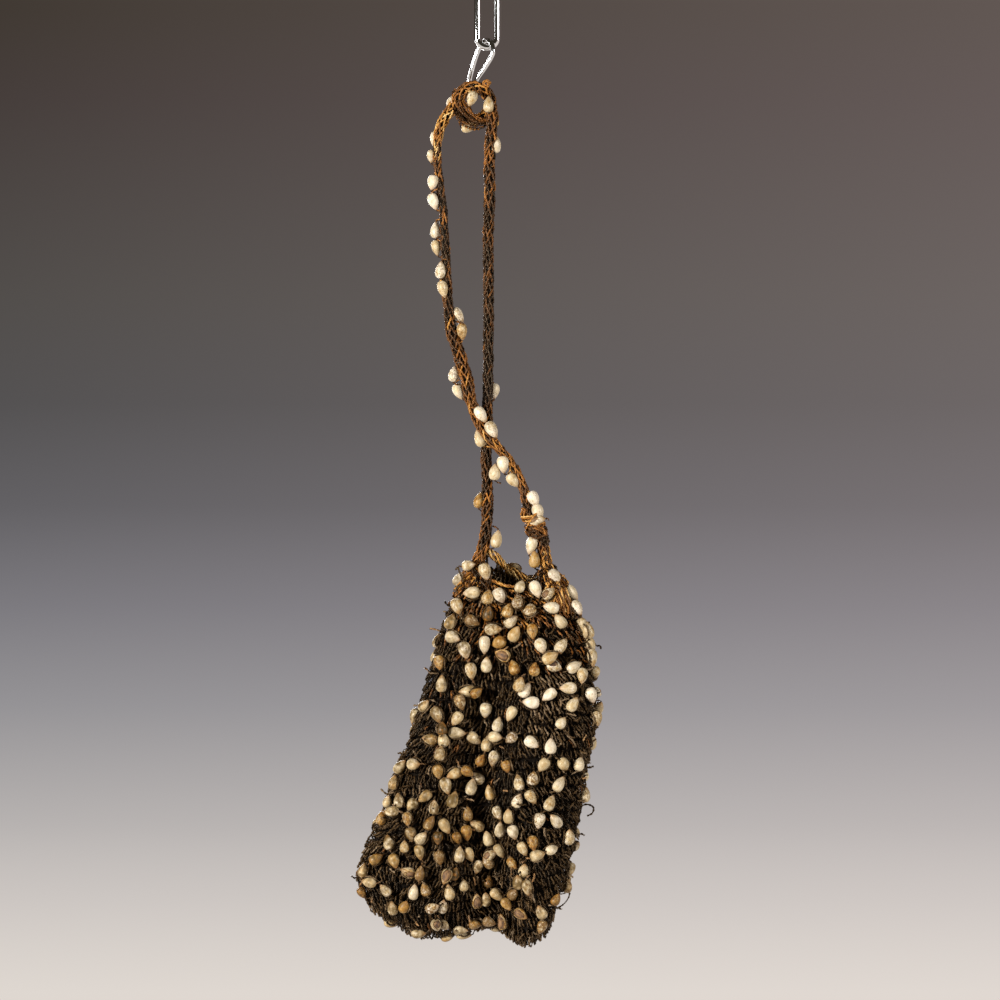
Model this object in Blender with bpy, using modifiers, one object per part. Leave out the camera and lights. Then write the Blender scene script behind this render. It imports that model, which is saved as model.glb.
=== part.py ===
"""Bilum string bag hanging by its strap from two wire links, at rest.

Metres, +Z up, -Y is the front of the bag. The origin is the hang point: the inside of the
chain link's upper bend, where a nail or a hook carries everything. Tables are in millimetres.
"""

import math
from collections import namedtuple

import bmesh
import bpy
from mathutils import Vector

MM = 0.001

NET_WALL = 2.6  # thickness of the looped netting
NET_AROUND = 56  # points round one section of the bag
NET_ROWS_PER_SECTION = 2
NET_CLOSING_ROWS = 6  # rows over which the front and the back come together
CLOSING_START = 7.6  # on the section scale, where the bottom begins to close
HOLLOW_END = 0.86  # share of the closing stretch that stays hollow
BOTTOM_HALF = 1.4  # half thickness of the closed bottom edge
EDGE_ROUNDING = 0.8  # power of the sine that gives the sides their roundness
FOLD_WIDTH = 13.0  # half width of the valley in the front
BACK_FOLD_WIDTH = 16.0
TURN_WIDTH = 22.0  # how quickly the panels step across the valley
MOUTH_SAG_FRONT = 7.5
MOUTH_SAG_BACK = 3.5

STRAP_DIAMETER = 4.6
STRAP_STEP = 9.0  # spacing of the strap's points along its straight runs
TURN_STEPS = 20  # points on the round turn
RIM_DIAMETER = 2.6
RIM_RAISE = 0.8  # clears the sloping ends of the mouth
RIM_POINTS = 40
LINK_WIRE = 3.0
HOOK_WIRE = 2.2
HOOK_STEP = 1.6  # spacing of the wire link's points

# One row for each section of the bag, from the mouth down: its left and right edges, how far the
# front and the back stand out, the front valley's place and depth, the back trough's place and
# depth, and how far the right panel comes forward.
Section = namedtuple(
    "Section", "left_x left_z right_x right_z front back fold_x fold back_x back_fold turn"
)
SECTIONS = [
    Section(-9.0, -284.0, 33.0, -285.0, 8.0, 7.5, 12.0, 0.0, 10.0, 0.0, 0.0),
    Section(-18.5, -300.0, 43.0, -301.5, 12.0, 11.0, 8.0, 3.0, 2.0, 0.5, 0.8),
    Section(-24.0, -318.5, 49.0, -320.0, 14.5, 12.5, 5.5, 6.0, -4.0, 1.5, 1.8),
    Section(-30.5, -340.0, 51.5, -340.0, 16.5, 14.0, 2.0, 8.5, -9.0, 3.0, 2.8),
    Section(-36.0, -360.0, 52.0, -356.0, 18.0, 15.5, -0.5, 10.5, -15.0, 4.5, 3.6),
    Section(-44.5, -380.0, 48.5, -376.0, 19.0, 17.0, -2.0, 12.0, -20.0, 6.0, 4.2),
    Section(-51.0, -400.0, 45.0, -397.0, 19.5, 18.0, -1.0, 13.0, -24.0, 6.5, 4.6),
    Section(-58.0, -417.0, 41.0, -416.0, 19.0, 18.0, 1.0, 13.5, -28.0, 6.0, 4.8),
    Section(-60.5, -431.0, 37.5, -431.0, 17.0, 16.5, 2.5, 13.5, -30.0, 4.5, 4.6),
    Section(-53.0, -445.5, 31.5, -448.5, 14.0, 13.5, 4.0, 12.0, -30.0, 3.0, 4.0),
]

# The closed bottom edge hangs in two lobes either side of the valley.
Lobe = namedtuple("Lobe", "centre half drop")
LOBES = [
    Lobe(0.35, 0.35, 10.5),
    Lobe(0.835, 0.165, 13.5),
]

# The strap's own route: x, y, z. It climbs from the right foot to the round turn.
STRAP_RISE = [
    (28.0, -0.6, -281.9),
    (26.8, -1.0, -276.5),
    (24.6, -1.6, -269.2),
    (21.8, -2.0, -262.0),
    (19.2, -2.4, -254.8),
    (17.0, -2.9, -246.0),
    (13.0, -3.2, -236.9),
    (7.1, -3.2, -229.2),
    (0.9, -3.0, -222.3),
    (-4.7, -2.4, -212.9),
    (-7.8, -1.6, -203.9),
    (-10.4, -0.8, -191.6),
    (-14.2, 0.0, -179.8),
    (-17.2, 0.6, -169.5),
    (-18.6, 1.2, -157.0),
    (-18.2, 1.8, -143.5),
    (-18.6, 2.6, -128.4),
    (-19.8, 3.4, -113.3),
    (-21.4, 4.2, -98.2),
    (-23.0, 5.0, -85.9),
    (-23.0, 5.4, -77.4),
    (-20.3, 5.8, -70.6),
]
STRAP_FALL = [
    (2.1, -5.6, -72.0),
    (1.9, -5.2, -79.0),
    (1.4, -4.2, -91.0),
    (0.9, -2.6, -110.0),
    (0.6, -1.0, -128.0),
    (0.8, 0.6, -157.0),
    (0.6, 1.8, -180.0),
    (0.4, 2.6, -200.0),
    (0.0, 3.0, -222.3),
    (-0.4, 2.8, -236.0),
    (0.3, 2.0, -248.0),
    (0.0, 1.2, -260.0),
    (-1.2, 0.6, -271.0),
    (-3.4, 0.4, -278.0),
    (-4.6, 0.3, -281.4),
]
# The round turn is a helix about Y: it enters at the left behind, and leaves at the right in front.
TURN_CENTRE = (-6.1, 0.0, -64.6)
TURN_RADIUS = 7.7
TURN_ENTRY = 150.0  # degrees, measured from +X towards +Z
TURN_EXIT = -352.0
TURN_PITCH = 7.6  # how far one full turn comes forward

LASHING_AT = (21.8, -2.0, -262.0)
LASHING_ALONG = (-5.4, -0.8, 14.4)
LASHING_LENGTH = 10.0
LASHING_RADIUS = 4.2
LASHING_END_RADIUS = 3.6
LASHING_BORE = 2.75
LASHING_SIDES = 20

LINK_LENGTH = 42.5  # outside
LINK_WIDTH = 12.3  # outside
LINK_BUTT = 0.6  # gap between the wire's two ends, in the middle of the left leg
LINK_BEND_STEPS = 12  # points round each of its two bends
HOOK_ROUTE = [
    (0.2, 0.0, -34.5),
    (1.5, -2.3, -35.2),
    (2.6, -4.0, -37.6),
    (2.9, -4.4, -40.6),
    (1.6, -3.6, -43.6),
    (-1.4, -1.8, -48.2),
    (-4.6, -0.1, -52.6),
    (-6.2, 0.2, -56.9),
    (-6.6, 1.3, -60.1),
    (-7.1, 4.2, -61.3),
    (-7.7, 7.3, -60.2),
    (-8.3, 8.3, -56.8),
    (-8.3, 8.0, -52.4),
    (-6.9, 6.2, -47.0),
    (-5.2, 5.0, -41.6),
    (-3.4, 3.8, -37.4),
    (-1.4, 2.0, -35.0),
]


def clear_scene():
    for obj in list(bpy.data.objects):
        bpy.data.objects.remove(obj)


def spline(p0, p1, p2, p3, u):
    """A cubic through p1 and p2 that leaves and arrives along their neighbours' lines."""
    return 0.5 * (
        2 * p1
        + (p2 - p0) * u
        + (2 * p0 - 5 * p1 + 4 * p2 - p3) * u * u
        + (3 * p1 - p0 - 3 * p2 + p3) * u * u * u
    )


def section_at(down):
    """The section at a place on the scale 0 (mouth) to 9 (bottom), between the table's rows."""
    last = len(SECTIONS) - 1
    row = min(int(down), last - 1)
    near = [SECTIONS[min(max(row + k, 0), last)] for k in (-1, 0, 1, 2)]
    return Section(*(spline(*values, down - row) for values in zip(*near)))


def closing_at(down):
    """1 where the bag has its full depth, falling to 0 along the closed bottom edge."""
    share = max(0.0, (down - CLOSING_START) / (len(SECTIONS) - 1 - CLOSING_START))
    return math.sqrt(max(0.0, 1.0 - share * share))


def bottom_drop(across):
    """How far the bottom edge hangs below the line between its two corners."""
    drops = [
        lobe.drop * math.sqrt(max(0.0, 1.0 - ((across - lobe.centre) / lobe.half) ** 2))
        for lobe in LOBES
    ]
    return max(drops)


def net_point(down, angle, inset=0.0):
    """A point on the bag's surface, or inset from it. Angle 0 is the left edge, and half a
    turn along the front is the right edge."""
    row = section_at(down)
    across = (1.0 - math.cos(angle)) / 2.0
    round_off = abs(math.sin(angle)) ** EDGE_ROUNDING
    x = row.left_x + inset + (row.right_x - row.left_x - 2 * inset) * across
    drop = bottom_drop(across) * (down / (len(SECTIONS) - 1)) ** 6
    mouth = max(0.0, 1.0 - down / 2.0) ** 2
    closing = closing_at(down)
    turn = -row.turn * math.tanh((x - row.fold_x) / TURN_WIDTH)
    if math.sin(angle) >= 0.0:
        valley = row.fold * math.exp(-(((x - row.fold_x) / FOLD_WIDTH) ** 2))
        depth = (row.front * round_off - valley * round_off) * closing
        y = turn - max(depth - inset * round_off, BOTTOM_HALF * round_off)
        sag = MOUTH_SAG_FRONT
    else:
        trough = row.back_fold * math.exp(-(((x - row.back_x) / BACK_FOLD_WIDTH) ** 2))
        depth = (row.back * round_off - trough * round_off) * closing
        y = turn + max(depth - inset * round_off, BOTTOM_HALF * round_off)
        sag = MOUTH_SAG_BACK
    z = row.left_z + (row.right_z - row.left_z) * across - drop
    z -= sag * mouth * math.sin(math.pi * across)
    return Vector((x, y, z))


def net_rows(last_share):
    """The rows' places: even ones down to where the bottom begins to close, then closer."""
    even = int(CLOSING_START * NET_ROWS_PER_SECTION)
    rows = [CLOSING_START * i / even for i in range(even + 1)]
    reach = len(SECTIONS) - 1 - CLOSING_START
    for i in range(1, NET_CLOSING_ROWS + 1):
        rows.append(CLOSING_START + reach * last_share * math.sin(math.pi / 2 * i / NET_CLOSING_ROWS))
    return rows


def loft(name, loops):
    """A closed mesh through loops of equal length: flat across the first one, and the last one
    closed by a strip between its front and its back."""
    mesh = bmesh.new()
    rings = [[mesh.verts.new(point * MM) for point in loop] for loop in loops]
    count = len(rings[0])
    for upper, lower in zip(rings, rings[1:]):
        for i in range(count):
            j = (i + 1) % count
            mesh.faces.new((upper[i], upper[j], lower[j], lower[i]))
    for ring, flip in ((rings[0], True), (rings[-1], False)):
        for i in range(count // 2):
            face = [ring[i], ring[i + 1], ring[(-i - 1) % count], ring[-i % count]]
            corners = list(dict.fromkeys(face))
            mesh.faces.new(corners[::-1] if flip else corners)
    bmesh.ops.recalc_face_normals(mesh, faces=mesh.faces)
    data = bpy.data.meshes.new(name)
    mesh.to_mesh(data)
    mesh.free()
    return bpy.data.objects.new(name, data)


def smooth_route(points, step, closed=False):
    """Points about a step apart on a smooth curve through the given ones."""
    points = [Vector(p) for p in points]
    last = len(points) - 1
    spans = len(points) if closed else last
    route = []
    for i in range(spans):
        if closed:
            near = [points[(i + k) % len(points)] for k in (-1, 0, 1, 2)]
        else:
            near = [points[min(max(i + k, 0), last)] for k in (-1, 0, 1, 2)]
        pieces = max(1, round((near[2] - near[1]).length / step))
        route += [spline(*near, j / pieces) for j in range(pieces)]
    return route if closed else route + [points[-1]]


def tube(name, points, diameter, closed=False, sides=2):
    """A round cord or wire along the points."""
    curve = bpy.data.curves.new(name, "CURVE")
    curve.dimensions = "3D"
    curve.bevel_depth = diameter / 2 * MM
    curve.bevel_resolution = sides
    curve.use_fill_caps = not closed
    line = curve.splines.new("POLY")
    line.points.add(len(points) - 1)
    for place, point in zip(line.points, points):
        place.co = (*(point * MM), 1.0)
    line.use_cyclic_u = closed
    return bpy.data.objects.new(name, curve)


def round_turn():
    """The strap's helix round the wire, from where it enters to where it leaves."""
    centre = Vector(TURN_CENTRE)
    middle = (TURN_ENTRY + TURN_EXIT) / 2
    points = []
    for i in range(TURN_STEPS + 1):
        degrees = TURN_ENTRY + (TURN_EXIT - TURN_ENTRY) * i / TURN_STEPS
        angle = math.radians(degrees)
        forward = TURN_PITCH * (degrees - middle) / 360
        offset = Vector((math.cos(angle) * TURN_RADIUS, forward, math.sin(angle) * TURN_RADIUS))
        points.append(centre + offset)
    return points


def strap():
    rise = [Vector(p) for p in STRAP_RISE]
    fall = [Vector(p) for p in STRAP_FALL]
    turn = round_turn()
    lead_in = smooth_route(rise + turn[:1], STRAP_STEP)
    lead_out = smooth_route(turn[-1:] + fall, STRAP_STEP)
    return tube("strap", lead_in + turn[1:] + lead_out[1:], STRAP_DIAMETER)


def bag_net(cutters):
    """The netting: its outer form, hollowed from the mouth."""
    angles = [2 * math.pi * i / NET_AROUND for i in range(NET_AROUND)]
    outer = loft("bag_net", [[net_point(row, a) for a in angles] for row in net_rows(1.0)])
    inner = [[net_point(row, a, NET_WALL) for a in angles] for row in net_rows(HOLLOW_END)]
    above = [point + Vector((0, 0, 4 * NET_WALL)) for point in inner[0]]
    hollow = loft("bag_hollow", [above] + inner)
    hollow.hide_render = True
    hollow.display_type = "WIRE"
    cutters.objects.link(hollow)
    cut = outer.modifiers.new("hollow", "BOOLEAN")
    cut.operation = "DIFFERENCE"
    cut.solver = "EXACT"
    cut.object = hollow
    return outer


def rim_point(angle):
    """The mouth cord's centre, standing on the middle of the netting's top edge."""
    outer = net_point(0.0, angle)
    inner = net_point(0.0, angle, NET_WALL)
    return (outer + inner) / 2 + Vector((0, 0, RIM_DIAMETER / 2 + RIM_RAISE))


def mouth_rim():
    points = [rim_point(2 * math.pi * i / RIM_POINTS) for i in range(RIM_POINTS)]
    return tube("mouth_rim", points, RIM_DIAMETER, closed=True)


def strap_lashing():
    """A wound sleeve, fuller in the middle than at its ends, with a bore that clears the strap."""
    half = LASHING_LENGTH / 2
    profile = [
        (LASHING_BORE, half),
        (LASHING_END_RADIUS, half),
        (LASHING_RADIUS, half * 0.55),
        (LASHING_RADIUS, -half * 0.5),
        (LASHING_END_RADIUS, -half),
        (LASHING_BORE, -half),
    ]
    data = bpy.data.meshes.new("strap_lashing")
    edges = [(i, (i + 1) % len(profile)) for i in range(len(profile))]
    data.from_pydata([(r * MM, 0, z * MM) for r, z in profile], edges, [])
    sleeve = bpy.data.objects.new("strap_lashing", data)
    screw = sleeve.modifiers.new("turned", "SCREW")
    screw.steps = screw.render_steps = LASHING_SIDES
    screw.use_merge_vertices = True
    screw.merge_threshold = 0.00001
    sleeve.location = Vector(LASHING_AT) * MM
    sleeve.rotation_mode = "QUATERNION"
    sleeve.rotation_quaternion = Vector((0, 0, 1)).rotation_difference(Vector(LASHING_ALONG))
    return sleeve


def chain_link():
    """A plain link in the XZ plane with the inside of its top bend at the origin."""
    radius = (LINK_WIDTH - LINK_WIRE) / 2
    top = LINK_WIRE / 2 - radius
    bottom = top - (LINK_LENGTH - LINK_WIDTH)
    middle = (top + bottom) / 2
    arc = [math.pi * (1 - i / LINK_BEND_STEPS) for i in range(LINK_BEND_STEPS + 1)]
    points = [Vector((-radius, 0, middle + LINK_BUTT / 2))]
    points += [Vector((radius * math.cos(a), 0, top + radius * math.sin(a))) for a in arc]
    points += [Vector((-radius * math.cos(a), 0, bottom - radius * math.sin(a))) for a in arc]
    points.append(Vector((-radius, 0, middle - LINK_BUTT / 2)))
    return tube("chain_link", points, LINK_WIRE)


def wire_link():
    return tube("wire_link", smooth_route(HOOK_ROUTE, HOOK_STEP, closed=True), HOOK_WIRE, closed=True)


def material(name, colour, roughness, metallic=0.0):
    made = bpy.data.materials.new(name)
    made.use_nodes = True
    shader = made.node_tree.nodes["Principled BSDF"]
    shader.inputs["Base Color"].default_value = (*colour, 1.0)
    shader.inputs["Roughness"].default_value = roughness
    shader.inputs["Metallic"].default_value = metallic
    return made


def finish(obj, collection, look):
    collection.objects.link(obj)
    obj.data.materials.append(look)
    if obj.type == "MESH":
        obj.data.shade_smooth()


def main():
    clear_scene()
    bag = bpy.data.collections.new("bilum_bag")
    cutters = bpy.data.collections.new("cutters")
    bpy.context.scene.collection.children.link(bag)
    bpy.context.scene.collection.children.link(cutters)
    finish(bag_net(cutters), bag, material("dark_string", (0.035, 0.025, 0.018), 0.9))
    finish(mouth_rim(), bag, material("undyed_cord", (0.50, 0.32, 0.14), 0.85))
    finish(strap(), bag, material("brown_string", (0.16, 0.075, 0.03), 0.85))
    finish(strap_lashing(), bag, material("lashing_cord", (0.25, 0.13, 0.06), 0.85))
    finish(chain_link(), bag, material("link_steel", (0.75, 0.75, 0.76), 0.2, 1.0))
    finish(wire_link(), bag, material("wire_steel", (0.7, 0.7, 0.71), 0.25, 1.0))


main()
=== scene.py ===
"""The bilum string bag's looks: looped netting, seeds, strap, lashing, steel links and light.

The bag hangs by its strap from a wire link and a chain link. Tables and sizes are in
millimetres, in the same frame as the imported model: X right, -Y the front, +Z up, and the
origin at the hang point. Meshes are written in metres.
"""

import math
from collections import namedtuple

import bmesh
import bpy
import numpy as np
from mathutils import Matrix, Vector


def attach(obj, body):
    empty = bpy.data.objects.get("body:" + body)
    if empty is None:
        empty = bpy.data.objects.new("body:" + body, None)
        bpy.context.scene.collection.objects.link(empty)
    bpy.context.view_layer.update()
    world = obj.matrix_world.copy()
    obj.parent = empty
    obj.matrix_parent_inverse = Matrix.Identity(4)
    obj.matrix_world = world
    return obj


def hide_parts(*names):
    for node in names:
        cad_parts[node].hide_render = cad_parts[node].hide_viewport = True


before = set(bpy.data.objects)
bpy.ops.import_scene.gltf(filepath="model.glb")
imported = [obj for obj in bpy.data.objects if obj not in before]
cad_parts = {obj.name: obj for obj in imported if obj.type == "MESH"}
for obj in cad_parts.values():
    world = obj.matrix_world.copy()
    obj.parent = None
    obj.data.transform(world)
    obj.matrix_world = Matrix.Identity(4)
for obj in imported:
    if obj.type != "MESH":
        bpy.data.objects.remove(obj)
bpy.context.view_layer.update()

MM = 0.001
TURN = 2 * math.pi


def unit(way):
    """A direction at length 1."""
    return way / np.linalg.norm(way)


def units(ways):
    """Many directions, each at length 1."""
    return ways / np.maximum(np.linalg.norm(ways, axis=-1, keepdims=True), 1e-9)


def run_along(points):
    """The length along a line of points, at each of them."""
    steps = np.linalg.norm(np.diff(points, axis=0), axis=1)
    return np.concatenate([[0], np.cumsum(steps)])


def between(where, stops, table):
    """Points of a table, read between its stops."""
    return np.stack([np.interp(where, stops, table[:, k]) for k in range(3)], axis=-1)


def arch(t, power):
    """1 over the middle of a span from -1 to 1, and 0 at its ends."""
    return np.sqrt(np.clip(1 - t**power, 0, 1))


def soft_patch(x, z, middle, reach):
    """1 at the middle of a patch, fading out over its reach across and down."""
    return np.exp(-(((x - middle[0]) / reach[0]) ** 2) - ((z - middle[1]) / reach[1]) ** 2)


def finished(mesh, name):
    """The mesh data of a bmesh, shaded smooth. The bmesh is freed."""
    data = bpy.data.meshes.new(name)
    mesh.to_mesh(data)
    mesh.free()
    data.shade_smooth()
    return data


# ---------------------------------------------------------------- the bag's form

EDGE_ROUNDING = 0.8  # power of the sine that gives the sides their roundness
CLOSING_START = 7.6  # on the section scale, where the front and the back come together
BOTTOM_HALF = 1.4  # half thickness of the closed bottom edge
FOLD_WIDTH = 13.0  # half width of the valley in the front
BACK_FOLD_WIDTH = 16.0
TURN_WIDTH = 22.0  # how quickly the panels step across the valley
MOUTH_SAG_FRONT = 9.0
MOUTH_SAG_BACK = 5.5
BACK_SAG_SKEW = 1.6  # puts the back's lowest place right of the middle

# One row for each section of the bag, from the mouth down: its left and right edges, how far the
# front and the back stand out, the front valley's place and depth, the back trough's place and
# depth, and how far the right panel comes forward.
Section = namedtuple(
    "Section", "left_x left_z right_x right_z front back fold_x fold back_x back_fold turn"
)
SECTIONS = np.array(
    [
        Section(-9.0, -284.0, 33.0, -285.0, 8.0, 7.5, 12.0, 0.0, 10.0, 0.0, 0.0),
        Section(-18.5, -300.0, 43.0, -301.5, 12.0, 11.0, 8.0, 3.0, 2.0, 0.5, 0.8),
        Section(-24.0, -318.5, 49.0, -320.0, 14.5, 12.5, 5.5, 6.0, -4.0, 1.5, 1.8),
        Section(-30.5, -340.0, 51.5, -340.0, 16.5, 14.0, 2.0, 8.5, -9.0, 3.0, 2.8),
        Section(-36.0, -360.0, 52.0, -356.0, 18.0, 15.5, -0.5, 10.5, -15.0, 4.5, 3.6),
        Section(-44.5, -380.0, 48.5, -376.0, 19.0, 17.0, -2.0, 12.0, -20.0, 6.0, 4.2),
        Section(-51.0, -400.0, 45.0, -397.0, 19.5, 18.0, -1.0, 13.0, -24.0, 6.5, 4.6),
        Section(-59.2, -417.0, 41.0, -416.0, 19.0, 18.0, 1.0, 13.5, -28.0, 6.0, 4.8),
        Section(-62.2, -431.0, 37.5, -431.0, 17.0, 16.5, 2.5, 13.5, -30.0, 4.5, 4.6),
        Section(-55.6, -445.0, 31.5, -448.5, 14.0, 13.5, 4.0, 12.0, -30.0, 3.0, 4.0),
    ]
)
BOTTOM = len(SECTIONS) - 1

# The closed bottom edge hangs in two lobes: how far round from the left, and how far below the
# line between its two corners.
EDGE_LOBES = np.array(
    [
        (0, 0), (0.06, 3.2), (0.146, 6.3), (0.20, 10.0), (0.27, 12.4), (0.36, 11.8), (0.45, 10.4),
        (0.55, 8.2), (0.634, 6.3), (0.684, 5.8), (0.734, 8.7), (0.804, 13.4), (0.84, 14.3),
        (0.903, 12.0), (0.963, 7.5), (1, 0),
    ]
)


def spline(p0, p1, p2, p3, u):
    """A cubic through p1 and p2 that leaves and arrives along their neighbours' lines."""
    return 0.5 * (
        2 * p1
        + (p2 - p0) * u
        + (2 * p0 - 5 * p1 + 4 * p2 - p3) * u * u
        + (3 * p1 - p0 - 3 * p2 + p3) * u * u * u
    )


def section_at(down):
    """The sections at places on the scale 0 (mouth) to 9 (bottom), between the table's rows."""
    row = np.clip(down.astype(int), 0, BOTTOM - 1)
    near = [SECTIONS[np.clip(row + k, 0, BOTTOM)] for k in (-1, 0, 1, 2)]
    values = spline(*near, (down - row)[..., None])
    return Section(*np.moveaxis(values, -1, 0))


def bottom_drop(across):
    """How far the bottom edge hangs below the line between its two corners."""
    return np.interp(across, *EDGE_LOBES.T)


def ripple(x, z, phase):
    """The netting's own unevenness, in millimetres."""
    slow = np.sin(x / 9.1 + 1.4 * np.sin(z / 13.0 + phase)) * np.sin(z / 8.3 + phase + x / 21.0)
    quick = np.sin(x / 4.3 - z / 7.9 + 2 * phase) * np.sin(z / 4.9 + 1.1 * np.sin(x / 6.7))
    return 0.75 * slow + 0.4 * quick


def net_surface(down, angle):
    """Points on the netting's outer face. Angle 0 is the left edge, and half a turn along the
    front is the right edge."""
    row = section_at(down)
    across = (1 - np.cos(angle)) / 2
    rounding = np.abs(np.sin(angle)) ** EDGE_ROUNDING
    front = np.sin(angle) >= 0
    x = row.left_x + (row.right_x - row.left_x) * across
    share = np.clip((down - CLOSING_START) / (BOTTOM - CLOSING_START), 0, 1)
    closing = np.sqrt(1 - share**2)
    valley = row.fold * np.exp(-(((x - row.fold_x) / FOLD_WIDTH) ** 2))
    trough = row.back_fold * np.exp(-(((x - row.back_x) / BACK_FOLD_WIDTH) ** 2))
    drop = bottom_drop(across) * (down / BOTTOM) ** 6
    front_sag = MOUTH_SAG_FRONT * np.sin(math.pi * across)
    back_sag = MOUTH_SAG_BACK * np.sin(math.pi * across**BACK_SAG_SKEW)
    sag = np.where(front, front_sag, back_sag) * np.clip(1 - down / 2, 0, 1) ** 2
    z = row.left_z + (row.right_z - row.left_z) * across - drop - sag
    uneven = np.where(front, ripple(x, z, 0.4), ripple(x, z, 2.9)) * np.clip(down, 0.2, 1)
    depth = np.where(front, row.front - valley, row.back - trough) + uneven
    depth = np.maximum(depth * closing, BOTTOM_HALF) * rounding
    y = np.where(front, -depth, depth) - row.turn * np.tanh((x - row.fold_x) / TURN_WIDTH)
    return np.stack([x, y, z], axis=-1)


class Netting:
    """The outer face as a grid of even steps, so that a place on it is a share of the way down
    and a share of the way round, from the left edge along the front."""

    ROWS = 260
    COLUMNS = 640

    def __init__(self):
        fine = np.linspace(0, BOTTOM, 1200)
        angles = np.linspace(0, TURN, 97)
        trial = net_surface(fine[:, None], angles[None, :])
        steps = np.linalg.norm(np.diff(trial, axis=0), axis=-1).mean(axis=1)
        length = np.concatenate([[0], np.cumsum(steps)])
        rows = np.interp(np.linspace(0, length[-1], self.ROWS), length, fine)
        angles = np.linspace(0, TURN, 2400)
        lines = net_surface(rows[:, None], angles[None, :])
        shares = np.linspace(0, 1, self.COLUMNS + 1)
        self.points = np.empty((self.ROWS, self.COLUMNS + 1, 3))
        self.girth = np.empty(self.ROWS)
        for i, line in enumerate(lines):
            run = run_along(line)
            self.girth[i] = run[-1]
            self.points[i] = between(shares * run[-1], run, line)
        around = np.roll(self.points[:, :-1], -1, axis=1) - np.roll(self.points[:, :-1], 1, axis=1)
        around = np.concatenate([around, around[:, :1]], axis=1)
        self.normals = units(np.cross(np.gradient(self.points, axis=0), around))
        self.height = length[-1]

    def read(self, grid, down, share):
        """Values of a grid at shares of the way down and round, between its points."""
        row = np.clip(down, 0, 1) * (self.ROWS - 1)
        column = (share % 1.0) * self.COLUMNS
        i = np.minimum(row.astype(int), self.ROWS - 2)
        j = np.minimum(column.astype(int), self.COLUMNS - 1)
        u = (row - i)[..., None]
        v = (column - j)[..., None]
        upper = grid[i, j] * (1 - v) + grid[i, j + 1] * v
        lower = grid[i + 1, j] * (1 - v) + grid[i + 1, j + 1] * v
        return upper * (1 - u) + lower * u

    def place(self, down, share, out=0.0):
        """Points out from the face, and the directions that face out there."""
        points = self.read(self.points, down, share)
        normals = units(self.read(self.normals, down, share))
        return points + normals * np.asarray(out)[..., None], normals

    def girth_at(self, down):
        return np.interp(np.clip(down, 0, 1), np.linspace(0, 1, self.ROWS), self.girth)

    def share_at(self, down, x, front):
        """The share of the way round, on the front or the back, where the row reaches x."""
        row = self.points[int(round(np.clip(down, 0, 1) * (self.ROWS - 1)))]
        half = self.COLUMNS // 2
        span = range(0, half) if front else range(half, self.COLUMNS)
        return min(span, key=lambda j: abs(row[j, 0] - x)) / self.COLUMNS

    def nearest(self, x, z, front):
        """The face's point closest to x and z as seen from the front, and its outward direction."""
        half = self.COLUMNS // 2
        columns = slice(0, half + 1) if front else slice(half, self.COLUMNS + 1)
        points, normals = self.points[:, columns], self.normals[:, columns]
        gaps = (points[..., 0] - x) ** 2 + (points[..., 2] - z) ** 2
        at = np.unravel_index(np.argmin(gaps), gaps.shape)
        return points[at], normals[at]

    def laid(self, down, share, right, below, lift):
        """Lines of points out from the face, each reached from its own place on the netting by
        millimetres along the row and down."""
        down, share = down[:, None], share[:, None]
        at_share = share + right / self.girth_at(down)
        return self.place(down + below / self.height, at_share, lift)[0]


# ---------------------------------------------------------------- finishes


class Number:
    """A number from a node, which takes part in ordinary arithmetic."""

    def __init__(self, look, socket):
        self.look = look
        self.socket = socket

    def maths(self, operation, first, second):
        node = self.look.node("ShaderNodeMath", {"operation": operation}, {0: first, 1: second})
        return Number(self.look, node.outputs[0])

    def __add__(self, other):
        return self.maths("ADD", self, other)

    def __sub__(self, other):
        return self.maths("SUBTRACT", self, other)

    def __mul__(self, other):
        return self.maths("MULTIPLY", self, other)

    def above_zero(self):
        return self.maths("MAXIMUM", self, 0.0)

    def limited(self):
        """Held between 0 and 1."""
        return self.maths("MINIMUM", self.above_zero(), 1.0)

    def power(self, exponent):
        return self.maths("POWER", self, exponent)

    __radd__ = __add__


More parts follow.
